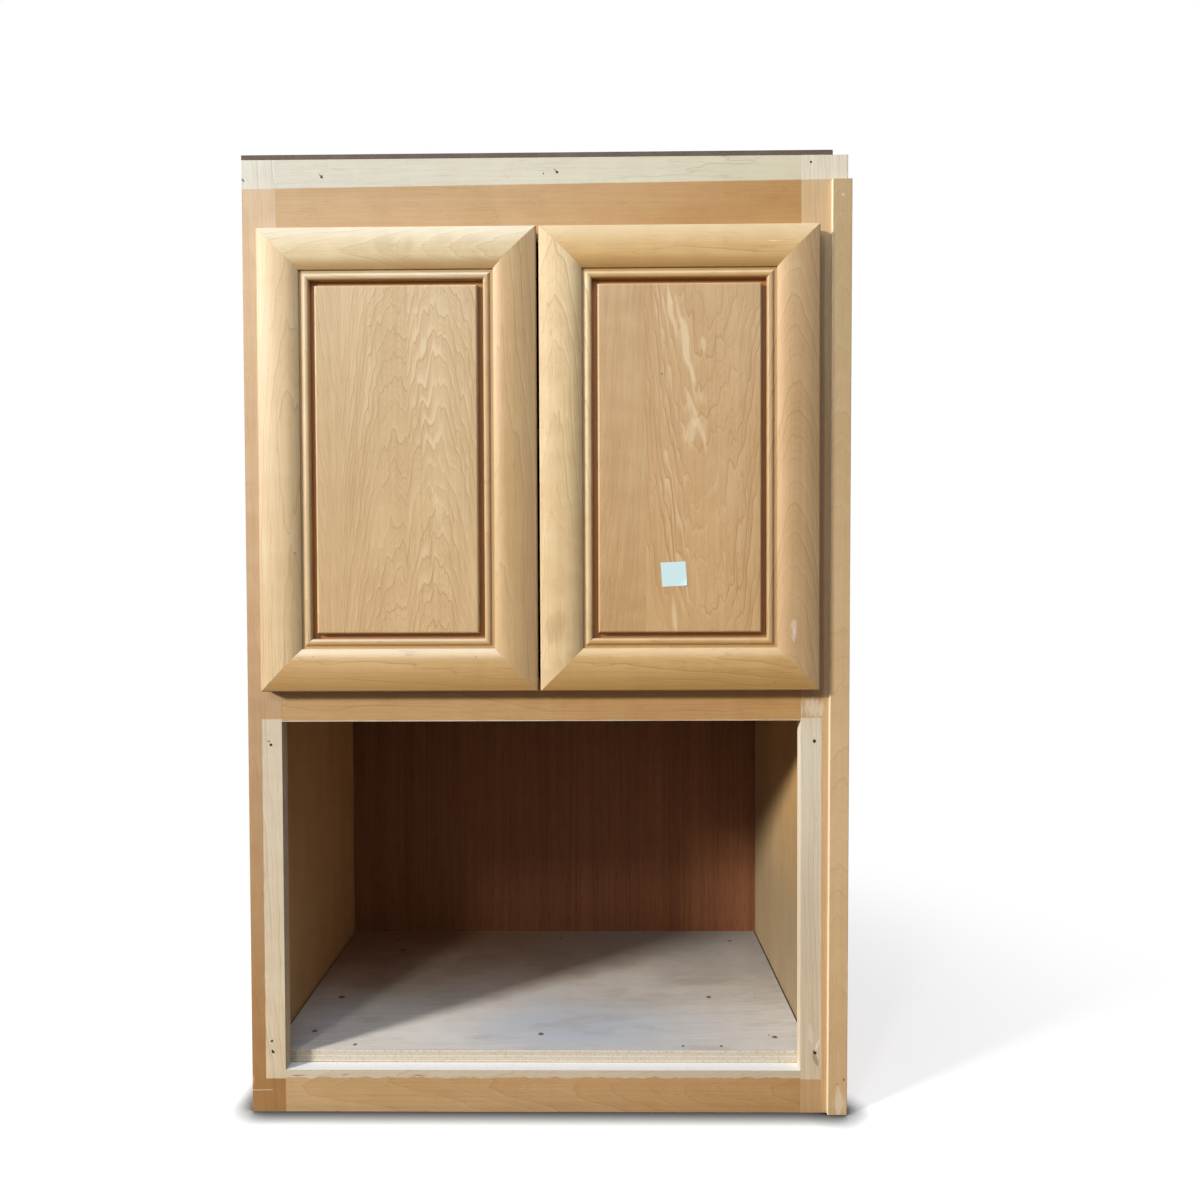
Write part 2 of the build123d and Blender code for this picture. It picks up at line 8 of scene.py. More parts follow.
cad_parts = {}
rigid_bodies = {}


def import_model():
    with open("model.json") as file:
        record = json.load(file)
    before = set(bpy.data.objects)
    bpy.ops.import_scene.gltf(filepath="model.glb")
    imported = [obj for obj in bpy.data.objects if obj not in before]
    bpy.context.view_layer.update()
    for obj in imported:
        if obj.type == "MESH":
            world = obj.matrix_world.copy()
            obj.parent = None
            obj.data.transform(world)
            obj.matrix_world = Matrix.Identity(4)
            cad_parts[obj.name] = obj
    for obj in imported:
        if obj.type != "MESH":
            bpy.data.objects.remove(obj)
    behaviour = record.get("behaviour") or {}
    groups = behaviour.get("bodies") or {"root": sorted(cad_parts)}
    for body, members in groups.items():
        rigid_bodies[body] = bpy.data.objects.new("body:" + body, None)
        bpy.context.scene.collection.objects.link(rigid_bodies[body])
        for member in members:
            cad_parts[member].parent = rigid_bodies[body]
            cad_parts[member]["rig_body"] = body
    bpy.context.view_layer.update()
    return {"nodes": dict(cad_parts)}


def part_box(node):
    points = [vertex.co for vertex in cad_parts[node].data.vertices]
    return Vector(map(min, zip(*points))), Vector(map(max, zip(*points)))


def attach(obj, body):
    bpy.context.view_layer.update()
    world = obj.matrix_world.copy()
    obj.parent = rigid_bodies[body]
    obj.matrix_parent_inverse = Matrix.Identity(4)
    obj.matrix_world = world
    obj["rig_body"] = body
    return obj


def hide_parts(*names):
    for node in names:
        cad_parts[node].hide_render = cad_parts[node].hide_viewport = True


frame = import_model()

# Camera and studio
# The camera stands where the photograph was taken, at chest height before the face frame. The floor is
# matt paper that looks white and keeps the cabinet's shadow. A near window and a far one light the left,
# and a dim lamp behind fills the right side.

mm = 0.001
frame_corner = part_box("left_stile")[0]
scene = bpy.context.scene


def from_corner(right, inward, up):
    """A point given in millimetres from the lower left corner of the face frame's front."""
    return frame_corner + Vector((right, inward, up)) * mm


camera_data = bpy.data.cameras.new("camera")
camera_data.sensor_width = 36
camera_data.lens = 26.92
camera_data.shift_x = 0.01375
camera_data.shift_y = 0.01025
camera = bpy.data.objects.new("camera", camera_data)
camera_turn = (
    Matrix.Rotation(math.radians(0.64), 4, "Z")
    @ Matrix.Rotation(math.radians(88.74), 4, "X")
    @ Matrix.Rotation(math.radians(-0.24), 4, "Z")
)
camera.matrix_world = Matrix.Translation(from_corner(441.5, -1136.8, 666.3)) @ camera_turn
scene.collection.objects.link(camera)
scene.camera = camera
scene.view_settings.view_transform = "Standard"


def feed(tree, node, feeds):
    """Feeds a node's inputs with values or with other nodes' outputs."""
    for socket, value in feeds.items():
        if isinstance(value, bpy.types.NodeSocket):
            tree.links.new(value, node.inputs[socket])
        else:
            node.inputs[socket].default_value = value


def place(tree, kind, feeds=None, **settings):
    """Adds a node, sets it up and feeds its inputs."""
    made = tree.nodes.new("ShaderNode" + kind)
    for name, value in settings.items():
        setattr(made, name, value)
    feed(tree, made, feeds or {})
    return made


def reckon(tree, operation, *values):
    """The output of a sum on one, two or three values."""
    return place(tree, "Math", dict(enumerate(values)), operation=operation).outputs[0]


def product(tree, first, second):
    return reckon(tree, "MULTIPLY", first, second)


def on_vectors(tree, operation, *vectors):
    """The output of a sum on one or two vectors: a value where it measures, and otherwise a vector."""
    outputs = place(tree, "VectorMath", dict(enumerate(vectors)), operation=operation).outputs
    return outputs["Value" if operation in ("LENGTH", "DISTANCE", "DOT_PRODUCT") else "Vector"]


def scaled(tree, vector, share):
    """A vector made longer, or a colour made brighter, by a share."""
    return place(tree, "VectorMath", {0: vector, 3: share}, operation="SCALE").outputs[0]


def axes_of(tree, vector):
    return place(tree, "SeparateXYZ", {0: vector}).outputs


def object_point(tree):
    return place(tree, "TexCoord").outputs["Object"]


def eased_step(tree, value, low, high, start=0.0, end=1.0):
    """A value that turns from start to end between low and high."""
    feeds = {0: value, 1: low, 2: high, 3: start, 4: end}
    return place(tree, "MapRange", feeds, interpolation_type="SMOOTHSTEP").outputs[0]


def blended(tree, share, under, over):
    return place(tree, "Mix", {0: share, 6: under, 7: over}, data_type="RGBA").outputs[2]


sky_above = (0.25, 0.27, 0.31, 1)
sky_level = (0.16, 0.09, 0.03, 1)
white = (1, 1, 1, 1)
scene.world = bpy.data.worlds.new("studio_world")
scene.world.use_nodes = True
tree = scene.world.node_tree
tree.nodes.clear()
rays = place(tree, "LightPath").outputs
seen = reckon(tree, "MAXIMUM", rays["Is Camera Ray"], rays["Is Glossy Ray"])
seen = reckon(tree, "MAXIMUM", seen, rays["Is Transmission Ray"])
sky_height = axes_of(tree, place(tree, "TexCoord").outputs["Generated"])["Z"]
sky = blended(tree, eased_step(tree, sky_height, -0.1, 0.9), sky_level, sky_above)
background = place(tree, "Background", {"Color": blended(tree, seen, sky, white), "Strength": 1.0})
place(tree, "OutputWorld", {"Surface": background.outputs[0]})


def lamp(name, lit_point, toward, distance, size, level, colour):
    """A flat lamp. Level is the light that it gives a white surface that faces it at lit_point."""
    lamp_data = bpy.data.lights.new(name, "AREA")
    lamp_data.shape = "RECTANGLE"
    lamp_data.size, lamp_data.size_y = size
    lamp_data.energy = level * (math.pi * distance) ** 2
    lamp_data.color = colour
    made = bpy.data.objects.new(name, lamp_data)
    away = Vector(toward).normalized()
    turn = away.to_track_quat("-Z", "Y").to_matrix().to_4x4()
    made.matrix_world = Matrix.Translation(lit_point - away * distance) @ turn
    scene.collection.objects.link(made)


bay_middle = from_corner(381, 0, 600)
top_front = from_corner(330, 0, 1200)
lamp("near_window", bay_middle, (1.55, 1, -0.68), 7.0, (0.85, 0.85), 1.26, (1.0, 0.95, 0.86))
lamp("far_window", bay_middle, (0.50, 1, -0.746), 7.0, (0.7, 0.7), 0.16, (1.0, 0.93, 0.83))
lamp("ceiling_panel", top_front, (0.05, 0.62, -1), 1.25, (1.2, 0.5), 0.46, (0.68, 0.95, 1.20))
lamp("fill_behind", bay_middle, (-1, -0.9, -0.08), 7.0, (1.6, 1.6), 0.42, (1.0, 0.96, 0.90))


def new_piece(name, mesh):
    """A new object at the origin, whose place is in its mesh."""
    piece = bpy.data.objects.new(name, mesh)
    scene.collection.objects.link(piece)
    return piece


floor_shape = bmesh.new()
bmesh.ops.create_grid(floor_shape, x_segments=1, y_segments=1, size=6)
floor_mesh = bpy.data.meshes.new("studio_floor")
floor_shape.to_mesh(floor_mesh)
floor_shape.free()
studio_floor = new_piece("studio_floor", floor_mesh)

floor_paper = bpy.data.materials.new("floor_paper")
floor_paper.use_nodes = True
tree = floor_paper.node_tree
tree.nodes.clear()
far = eased_step(tree, on_vectors(tree, "LENGTH", object_point(tree)), 0.45, 1.15)
rays = place(tree, "LightPath").outputs
seen = rays["Is Camera Ray"]
seen_paper = (0.5, 0.5, 0.51, 1)
lighting_paper = (0.24, 0.15, 0.07, 1)
# Ambient occlusion darkens the paper's colour and glow close to the cabinet: a painted contact shadow under
# it.
open_floor = place(tree, "AmbientOcclusion", {"Distance": 35 * mm}, samples=16).outputs["AO"]
open_floor = reckon(tree, "POWER", open_floor, 4.0)
paper = scaled(tree, blended(tree, seen, lighting_paper, seen_paper), open_floor)
matt = place(tree, "BsdfDiffuse", {"Color": paper}).outputs[0]
glow_level = product(tree, product(tree, seen, 0.66), open_floor)
glow = place(tree, "Emission", {"Color": white, "Strength": glow_level}).outputs[0]
near = place(tree, "AddShader", {0: matt, 1: glow}).outputs[0]
white_level = reckon(tree, "MAXIMUM", seen, rays["Is Glossy Ray"])
plain_white = place(tree, "Emission", {"Color": white, "Strength": white_level}).outputs[0]
place(tree, "OutputMaterial", {0: place(tree, "MixShader", {0: far, 1: near, 2: plain_white}).outputs[0]})
floor_mesh.materials.append(floor_paper)

# Face frame
# Hard maple, sprayed with an amber lacquer: two stiles run the full height and three rails are dowelled
# between them. Where a top moulding and an oven's trim kit sat, the wood is bare and pale.


def pattern_group(name, inputs, outputs):
    """A node group with named inputs, each with its usual value, and named outputs."""
    group = bpy.data.node_groups.new(name, "ShaderNodeTree")
    for label, usual in inputs.items():
        kind = "Float" if isinstance(usual, float) else {3: "Vector", 4: "Color"}[len(usual)]
        socket = group.interface.new_socket(label, in_out="INPUT", socket_type="NodeSocket" + kind)
        socket.default_value = usual
    for label, kind in outputs.items():
        group.interface.new_socket(label, in_out="OUTPUT", socket_type="NodeSocket" + kind)
    return group, group.nodes.new("NodeGroupInput").outputs, group.nodes.new("NodeGroupOutput").inputs


def speckle(tree, vector, cycles, detail=2.0, roughness=0.5):
    """Noise from 0 to 1, with its own cycles per metre along each axis."""
    stretched = on_vectors(tree, "MULTIPLY", vector, cycles)
    feeds = {"Vector": stretched, "Scale": 1.0, "Detail": detail, "Roughness": roughness}
    return place(tree, "TexNoise", feeds).outputs[0]


def swing(tree, noise, reach):
    """Noise moved to swing about zero by reach each way."""
    return product(tree, reckon(tree, "SUBTRACT", noise, 0.5), 2 * reach)


# How far into the growth rings a point of a flat-sawn board lies, counted in rings. A board's own
# directions are X across its face, Y into it and Z along the grain.
origin = (0.0, 0.0, 0.0)
ring_inputs = {"Heart": 0.0, "Sweep": 700.0, "Climb": 10.0, "Wander": 2.0, "Jag": 0.3}
growth_rings, given, made = pattern_group(
    "growth_rings", {"Vector": origin, **ring_inputs}, {"Rings": "Float"}
)
tree = growth_rings
axes = axes_of(tree, given["Vector"])
aside = reckon(tree, "SUBTRACT", axes["X"], given["Heart"])
rings = product(tree, product(tree, aside, aside), given["Sweep"])
rings = reckon(tree, "MULTIPLY_ADD", axes["Z"], given["Climb"], rings)
rings = reckon(tree, "MULTIPLY_ADD", axes["Y"], 90.0, rings)
wander = swing(tree, speckle(tree, given["Vector"], (15, 15, 3.4), 1.5), 1.0)
rings = reckon(tree, "MULTIPLY_ADD", wander, given["Wander"], rings)
jag = swing(tree, speckle(tree, given["Vector"], (120, 120, 16), 1.0), 1.0)
rings = reckon(tree, "MULTIPLY_ADD", jag, given["Jag"], rings)
tree.links.new(rings, made["Rings"])

# The figure of a maple board: growth lines, tone, pale flames between lines, ribbons, flecks and fibre.
usual_curl = 0.35
maple_figure, given, made = pattern_group(
    "maple_figure",
    {"Vector": origin, **ring_inputs, "Curl": usual_curl},
    {label: "Float" for label in ("Line", "Tone", "Flame", "Ribbon", "Fleck", "Fibre")},
)
tree = maple_figure
board = given["Vector"]
ring_feeds = {label: given[label] for label in ring_inputs}


def laid(tree, pattern, vector, settings):
    """The outputs of a pattern group that is laid at a vector with its settings."""
    return place(tree, "Group", {"Vector": vector, **settings}, node_tree=pattern).outputs


def rings_beside(step):
    """The rings at a small step, in metres, away from the point."""
    return laid(tree, growth_rings, on_vectors(tree, "ADD", board, step), ring_feeds)[0]


step_across = 0.3 * mm
step_along = 1.5 * mm
rings = rings_beside((0, 0, 0))
rings_across = reckon(tree, "SUBTRACT", rings_beside((step_across, 0, 0)), rings)
rings_along = reckon(tree, "SUBTRACT", rings_beside((0, 0, step_along)), rings)
across = reckon(tree, "POWER", reckon(tree, "DIVIDE", rings_across, step_across), 2.0)
along = reckon(tree, "POWER", reckon(tree, "DIVIDE", rings_along, step_along), 2.0)
steepness = reckon(tree, "SQRT", reckon(tree, "ADD", across, along))
cycle = reckon(tree, "FRACT", rings)
to_line = reckon(tree, "DIVIDE", reckon(tree, "SUBTRACT", 1.0, cycle), steepness)
fine_line = eased_step(tree, to_line, 0.5 * mm, 1.7 * mm, 1.0, 0.0)
soft_line = eased_step(tree, to_line, 0.0, 5 * mm, 0.4, 0.0)
thirds = reckon(tree, "FRACT", product(tree, rings, 3.0))
to_third = reckon(tree, "DIVIDE", reckon(tree, "SUBTRACT", 1.0, thirds), product(tree, steepness, 3.0))
faint_line = eased_step(tree, to_third, 0.4 * mm, 1.5 * mm, 0.45, 0.0)
ring_number = reckon(tree, "FLOOR", rings)
ring_level = product(tree, axes_of(tree, board)["Z"], 3.1)
ring_place = place(tree, "CombineXYZ", {0: product(tree, ring_number, 0.731), 2: ring_level}).outputs[0]
ring_own = speckle(tree, ring_place, (1, 1, 1), 1.0)
vanish = eased_step(tree, speckle(tree, board, (28, 28, 5), 2.0), 0.26, 0.52)
vanish = product(tree, vanish, eased_step(tree, ring_own, 0.30, 0.62, 0.35, 1.0))
line = reckon(tree, "MAXIMUM", reckon(tree, "MAXIMUM", fine_line, soft_line), faint_line)
tree.links.new(product(tree, line, vanish), made["Line"])
tone = reckon(tree, "ADD", swing(tree, speckle(tree, board, (12, 12, 2.2), 3.0), 0.9), 0.5)
tone = reckon(tree, "ADD", tone, swing(tree, speckle(tree, board, (230, 230, 2.6), 3.0, 0.6), 0.5))
tone = reckon(tree, "ADD", tone, swing(tree, ring_own, 0.5))
curl = swing(tree, speckle(tree, board, (26, 26, 38), 3.0), 1.0)
tone = reckon(tree, "MULTIPLY_ADD", curl, given["Curl"], tone)
tree.links.new(place(tree, "Clamp", {0: tone}).outputs[0], made["Tone"])
patchy = eased_step(tree, speckle(tree, board, (22, 22, 3.0), 2.0), 0.38, 0.60)
beside_line = eased_step(tree, cycle, 0.0, 0.45, 0.75, 0.0)
flame = reckon(tree, "MAXIMUM", eased_step(tree, ring_own, 0.56, 0.66), beside_line)
tree.links.new(product(tree, flame, patchy), made["Flame"])
ribbon_end = eased_step(tree, cycle, 0.28, 0.52, 1.0, 0.0)
ribbon = product(tree, eased_step(tree, cycle, 0.02, 0.10), ribbon_end)
tree.links.new(product(tree, ribbon, eased_step(tree, ring_own, 0.34, 0.55)), made["Ribbon"])
tree.links.new(eased_step(tree, speckle(tree, board, (620, 620, 48), 1.0), 0.66, 0.74), made["Fleck"])
tree.links.new(speckle(tree, board, (900, 900, 14), 3.0, 0.6), made["Fibre"])

# The colours of maple, laid over its figure.
maple_colour, given, made = pattern_group(
    "maple_colour",
    {
        "Line": 0.0,
        "Tone": 0.5,
        "Flame": 0.0,
        "Fleck": 0.0,
        "Fibre": 0.5,
        "Light": (0.66, 0.47, 0.27, 1.0),
        "Deep": (0.55, 0.36, 0.18, 1.0),
        "Line Colour": (0.36, 0.21, 0.10, 1.0),
        "Pale": (0.76, 0.60, 0.38, 1.0),
        "Line Share": 0.4,
        "Flame Share": 0.3,
    },
    {"Color": "Color"},
)
tree = maple_colour
colour = blended(tree, given["Tone"], given["Light"], given["Deep"])
colour = blended(tree, product(tree, given["Flame"], given["Flame Share"]), colour, given["Pale"])
colour = blended(tree, product(tree, given["Line"], given["Line Share"]), colour, given["Line Colour"])
colour = blended(tree, product(tree, given["Fleck"], 0.35), colour, given["Line Colour"])
fibre_level = reckon(tree, "MULTIPLY_ADD", given["Fibre"], 0.26, 0.87)
tree.links.new(scaled(tree, colour, fibre_level), made["Color"])

# A band of the face where something covered the wood, with a slightly ragged edge.
band_inputs = {"West": -9.0, "East": 9.0, "Bottom": -9.0, "Top": 9.0, "Slope": 0.0, "Ragged": 1 * mm}
bare_band, given, made = pattern_group("bare_band", {"Vector": origin, **band_inputs}, {"Mask": "Float"})
tree = bare_band
axes = axes_of(tree, given["Vector"])
ragged = reckon(tree, "SUBTRACT", speckle(tree, given["Vector"], (70, 70, 70), 3.0), 0.5)
ragged = product(tree, ragged, given["Ragged"])
level = reckon(tree, "SUBTRACT", axes["Z"], product(tree, axes["X"], given["Slope"]))
level = reckon(tree, "ADD", level, ragged)
across = reckon(tree, "ADD", axes["X"], ragged)
softness = 0.5 * mm
inside = [
    reckon(tree, "SUBTRACT", across, given["West"]),
    reckon(tree, "SUBTRACT", given["East"], across),
    reckon(tree, "SUBTRACT", level, given["Bottom"]),
    reckon(tree, "SUBTRACT", given["Top"], level),
]
least = reckon(tree, "MINIMUM", reckon(tree, "MINIMUM", *inside[:2]), reckon(tree, "MINIMUM", *inside[2:]))
tree.links.new(eased_step(tree, least, -softness, softness), made["Mask"])


# How a board lies: the directions across its face, into it and along its grain.
lies = {
    "upright": Matrix(((1, 0, 0), (0, 1, 0), (0, 0, 1))),
    "level": Matrix(((0, 0, 1), (0, 1, 0), (-1, 0, 0))),
    "side": Matrix(((0, -1, 0), (1, 0, 0), (0, 0, 1))),
    "flat": Matrix(((0, 1, 0), (0, 0, 1), (1, 0, 0))),
}


def board_vector(tree, node, lie, seed):
    """Object coordinates, and the same turned to the board's own directions from its middle."""
    low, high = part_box(node)
    turn = lies[lie]
    point = object_point(tree)
    moved = Vector((0, 0.7 * seed, 1.9 * seed)) - turn @ ((low + high) / 2)
    feeds = {"Vector": point, "Location": moved, "Rotation": turn.to_euler()}
    return point, place(tree, "Mapping", feeds).outputs[0]


def new_material(name):
    """A material with its tree emptied but for a principled surface and its output."""
    material = bpy.data.materials.new(name)
    material.use_nodes = True
    tree = material.node_tree
    tree.nodes.clear()
    surface = place(tree, "BsdfPrincipled")
    place(tree, "OutputMaterial", {"Surface": surface.outputs[0]})
    return material, tree, surface


# A mark on the surface, drawn out along the grain and tapered at both ends.
drawn_mark, given, made = pattern_group(
    "drawn_mark",
    {
        "Vector": origin, "Centre": origin, "Half Width": 4 * mm, "Half Height": 50 * mm, "Lean": 0.0,
        "Ragged": 0.5, "Wave": 4 * mm,
    },
    {"Mask": "Float"},
)
tree = drawn_mark
axes = axes_of(tree, on_vectors(tree, "SUBTRACT", given["Vector"], given["Centre"]))
aside = reckon(tree, "SUBTRACT", axes["X"], product(tree, axes["Z"], given["Lean"]))
wave = swing(tree, speckle(tree, given["Vector"], (12, 12, 13), 2.0), 3.0)
aside = reckon(tree, "MULTIPLY_ADD", wave, given["Wave"], aside)
aside = reckon(tree, "ABSOLUTE", reckon(tree, "DIVIDE", aside, given["Half Width"]))
reach = reckon(tree, "POWER", reckon(tree, "DIVIDE", axes["Z"], given["Half Height"]), 2.0)
ragged = swing(tree, speckle(tree, given["Vector"], (130, 130, 26), 4.0, 0.6), 2.0)
away = reckon(tree, "ADD", reckon(tree, "ADD", aside, reach), product(tree, ragged, given["Ragged"]))
tree.links.new(eased_step(tree, away, 0.2, 1.2, 1.0, 0.0), made["Mask"])


def mark_mask(tree, point, right, up, half_width, half_height, lean, ragged, wave):
    """Where a drawn mark lies, from its place, its half sizes and its waves in millimetres."""
    settings = {
        "Centre": from_corner(right, 0, up), "Half Width": half_width * mm, "Half Height": half_height * mm,
        "Lean": lean, "Ragged": ragged, "Wave": wave * mm,
    }
    return laid(tree, drawn_mark, point, settings)[0]


def marked(tree, point, colour, marks):
    """The colour with marks on it. Each is its place, its half sizes in millimetres, lean, raggedness,
    strength and colour."""
    for right, up, half_width, half_height, lean, ragged, share, over in marks:
        wave = min(half_height / 8, 4)
        mask = mark_mask(tree, point, right, up, half_width, half_height, lean, ragged, wave)
        colour = blended(tree, product(tree, mask, share), colour, over)
    return colour


# A tint that turns from one colour to another along an axis of the cabinet: partly ageing and air, partly
# painted light and shade.
plain = (1.0, 1.0, 1.0, 1.0)
graded_tint, given, made = pattern_group(
    "graded_tint",
    {"Vector": origin, "Axis": (0.0, 0.0, 1.0), "Start": 0.1, "End": 0.7, "First": plain, "Last": plain},
    {"Tint": "Color"},
)
tree = graded_tint
reach = on_vectors(tree, "DOT_PRODUCT", given["Vector"], given["Axis"])
share = place(tree, "MapRange", {0: reach, 1: given["Start"], 2: given["End"]}).outputs[0]
tree.links.new(blended(tree, share, given["First"], given["Last"]), made["Tint"])


def upward(low, high, first, last):
    """The settings of a tint that turns between two heights, in millimetres above the bottom."""
    return {"Start": low * mm, "End": high * mm, "First": (*first, 1), "Last": (*last, 1)}


def rightward(first, last):
    """The settings of a tint that turns between the stiles."""
    return {
        "Axis": (1, 0, 0), "Start": from_corner(60, 0, 0).x, "End": from_corner(700, 0, 0).x,
        "First": (*first, 1), "Last": (*last, 1),
    }


# Multiplies a colour by a graded tint, which is partly ageing and partly painted light and shade.
def tinted_for_light_and_age(tree, point, colour, tint):
    return on_vectors(tree, "MULTIPLY", colour, laid(tree, graded_tint, point, tint)[0])


# A round mark on the surface, such as a nail hole, a knot or a dent.
spot_inputs = {"Vector": origin, "Centre": origin, "Radius": 2 * mm}
spot, given, made = pattern_group("spot", spot_inputs, {"Mask": "Float"})
tree = spot
away = on_vectors(tree, "DISTANCE", given["Vector"], given["Centre"])
away = reckon(tree, "DIVIDE", away, given["Radius"])
away = reckon(tree, "ADD", away, swing(tree, speckle(tree, given["Vector"], (400, 400, 400), 2.0), 0.5))
tree.links.new(eased_step(tree, away, 0.6, 1.2, 1.0, 0.0), made["Mask"])


def spotted(tree, point, colour, spots, dark):
    """The colour with round marks laid on it, each a centre in metres and a radius in millimetres."""
    for centre, radius in spots:
        mark = laid(tree, spot, point, {"Centre": centre, "Radius": radius * mm})[0]
        colour = blended(tree, mark, colour, dark)
    return colour


def figured(tree, vector, figure):
    """A board's figure laid at a vector: all of it, and what its colours are laid over."""
    masks = laid(tree, maple_figure, vector, figure)
    return masks, {label: masks[label] for label in ("Line", "Tone", "Flame", "Fleck", "Fibre")}


def coloured(tree, feeds, colours):
    return place(tree, "Group", {**feeds, **colours}, node_tree=maple_colour).outputs[0]


def relief(tree, strength, depth, height):
    """A surface's normal where its heights are depth millimetres deep, at full strength."""
    return place(tree, "Bump", {"Strength": strength, "Distance": depth * mm, "Height": height}).outputs[0]


def lacquered_maple(
    node, lie, seed, figure, colours, bands=(), bare=None, rough=0.5, seams=(), marks=(), holes=(), zones=(),
    light_and_age=None, bare_light_and_age=None, surface_overlay=None,
):
    """Maple under lacquer. Each band is a span of the face that stayed bare. Each seam is a glued joint:
    its place, its lean, how much darker, calmer and more mottled the board left of it is, and how far, in
    metres, that board's heart lies to the left. Each zone is a place where pale ribbons follow the rings."""
    material, tree, surface = new_material(node + "_maple")
    point, vector = board_vector(tree, node, lie, seed)
    shade = 1.0
    calm = 1.0
    figure = dict(figure)
    seam_level = from_corner(0, 0, 750).z
    for number, (right, lean, darker, calmer, mottle, shift) in enumerate(seams):
        axes = axes_of(tree, point)
        beside = reckon(tree, "MULTIPLY_ADD", axes["Z"], -lean, axes["X"])
        west = reckon(tree, "LESS_THAN", beside, from_corner(right, 0, 0).x - lean * seam_level)
        moved = scaled(tree, (shift, 0.37, 0.83 + number), west)
        vector = on_vectors(tree, "ADD", vector, moved)
        shade = product(tree, shade, reckon(tree, "MULTIPLY_ADD", west, -darker, 1.0))
        calm = product(tree, calm, reckon(tree, "MULTIPLY_ADD", west, -calmer, 1.0))
        if mottle:
            figure["Curl"] = reckon(tree, "MULTIPLY_ADD", west, mottle, usual_curl)
    masks, feeds = figured(tree, vector, figure)
    if seams:
        feeds["Line"] = product(tree, feeds["Line"], calm)
        feeds["Flame"] = product(tree, feeds["Flame"], calm)
    colour = coloured(tree, feeds, colours)
    if seams:
        colour = scaled(tree, colour, shade)
    zone_ragged, zone_wave = 0.6, 2
    for *shape, strength in zones:
        zone = mark_mask(tree, point, *shape, zone_ragged, zone_wave)
        share = product(tree, product(tree, zone, masks["Ribbon"]), strength)
        colour = blended(tree, share, colour, pale_wood)
    # The graded tint is partly ageing and partly painted light and shade.
    if light_and_age:
        colour = tinted_for_light_and_age(tree, point, colour, light_and_age)
    if bands:
        cover, *others = (laid(tree, bare_band, point, settings)[0] for settings in bands)
        for other in others:
            cover = reckon(tree, "MAXIMUM", cover, other)
        colour = blended(tree, cover, colour, tinted_for_light_and_age(tree, point, coloured(tree, feeds, bare), bare_light_and_age))
        rough = reckon(tree, "MULTIPLY_ADD", cover, 0.4, rough)
    colour = marked(tree, point, colour, marks)
    for right, up, radius, over in holes:
        centre = from_corner(right, 0, up)
        centre.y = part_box(node)[0].y
        colour = spotted(tree, point, colour, [(centre, radius)], over)
    if surface_overlay:
        colour = surface_overlay(tree, point, colour)
    height = reckon(tree, "MULTIPLY_ADD", masks["Line"], -0.3, masks["Fibre"])
    feed(tree, surface, {"Base Color": colour, "Roughness": rough, "Normal": relief(tree, 0.12, 0.4, height)})
    return material


def eased(node_name, width, material):
    """A copy of a CAD piece with its arrises eased and its finish on, which stands for it."""
    node = frame["nodes"][node_name]
    shape = bmesh.new()
    shape.from_mesh(node.data)
    bmesh.ops.remove_doubles(shape, verts=shape.verts, dist=1e-6)
    flat = math.radians(0.4)
    bmesh.ops.dissolve_limit(shape, angle_limit=flat, verts=shape.verts, edges=shape.edges)
    sharp = math.radians(24)
    arrises = [edge for edge in shape.edges if edge.calc_face_angle(0) > sharp]
    bmesh.ops.bevel(
        shape, geom=arrises, offset=width, segments=1, profile=0.5,
        affect="EDGES", clamp_overlap=True, material=-1,
    )
    for face in shape.faces:
        face.smooth = True
    for edge in shape.edges:
        edge.smooth = edge.calc_face_angle(0) < sharp / 2
    mesh = bpy.data.meshes.new(node_name + "_eased")
    shape.to_mesh(mesh)
    shape.free()
    mesh.materials.append(material)
    piece = new_piece(node_name + "_eased", mesh)
    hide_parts(node_name)
    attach(piece, node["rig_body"])


def wood_colours(light, deep, line, pale, line_share, flame_share):
    """A wood's colours, and how strongly its growth lines and its pale flames show."""
    shades = {"Light": light, "Deep": deep, "Line Colour": line, "Pale": pale}
    feeds = {label: (*shade, 1) for label, shade in shades.items()}
    return {**feeds, "Line Share": line_share, "Flame Share": flame_share}


def grown(heart, sweep, climb, wander=2.0, jag=0.3, curl=usual_curl):
    """A board's figure. Its rings' heart lies aside in metres. Sweep curves them across the board, climb
    tilts them along it, wander and jag bend them, and curl mottles the tone."""
    return {"Heart": heart, "Sweep": sweep, "Climb": climb, "Wander": wander, "Jag": jag, "Curl": curl}


frame_colours = wood_colours(
    (0.60, 0.38, 0.19), (0.50, 0.29, 0.125), (0.33, 0.17, 0.07), (0.66, 0.45, 0.24), 0.45, 0.2
)
stile_colours = wood_colours(
    (0.66, 0.45, 0.27), (0.57, 0.36, 0.19), (0.40, 0.23, 0.11), (0.70, 0.50, 0.30), 0.35, 0.2
)
bare_colours = wood_colours(
    (0.72, 0.66, 0.53), (0.64, 0.57, 0.44), (0.40, 0.34, 0.26), (0.76, 0.70, 0.58), 0.5, 0.2
)


def band(west=-9999, east=9999, bottom=-9999, top=9999, slope=0.0, ragged=0.8):
    """A bare band's settings, from millimetres right of and above the frame's lower left corner."""
    return {
        "West": frame_corner.x + west * mm,
        "East": frame_corner.x + east * mm,
        "Bottom": frame_corner.z + bottom * mm - slope * frame_corner.x,
        "Top": frame_corner.z + top * mm - slope * frame_corner.x,
        "Slope": slope,
        "Ragged": ragged * mm,
    }


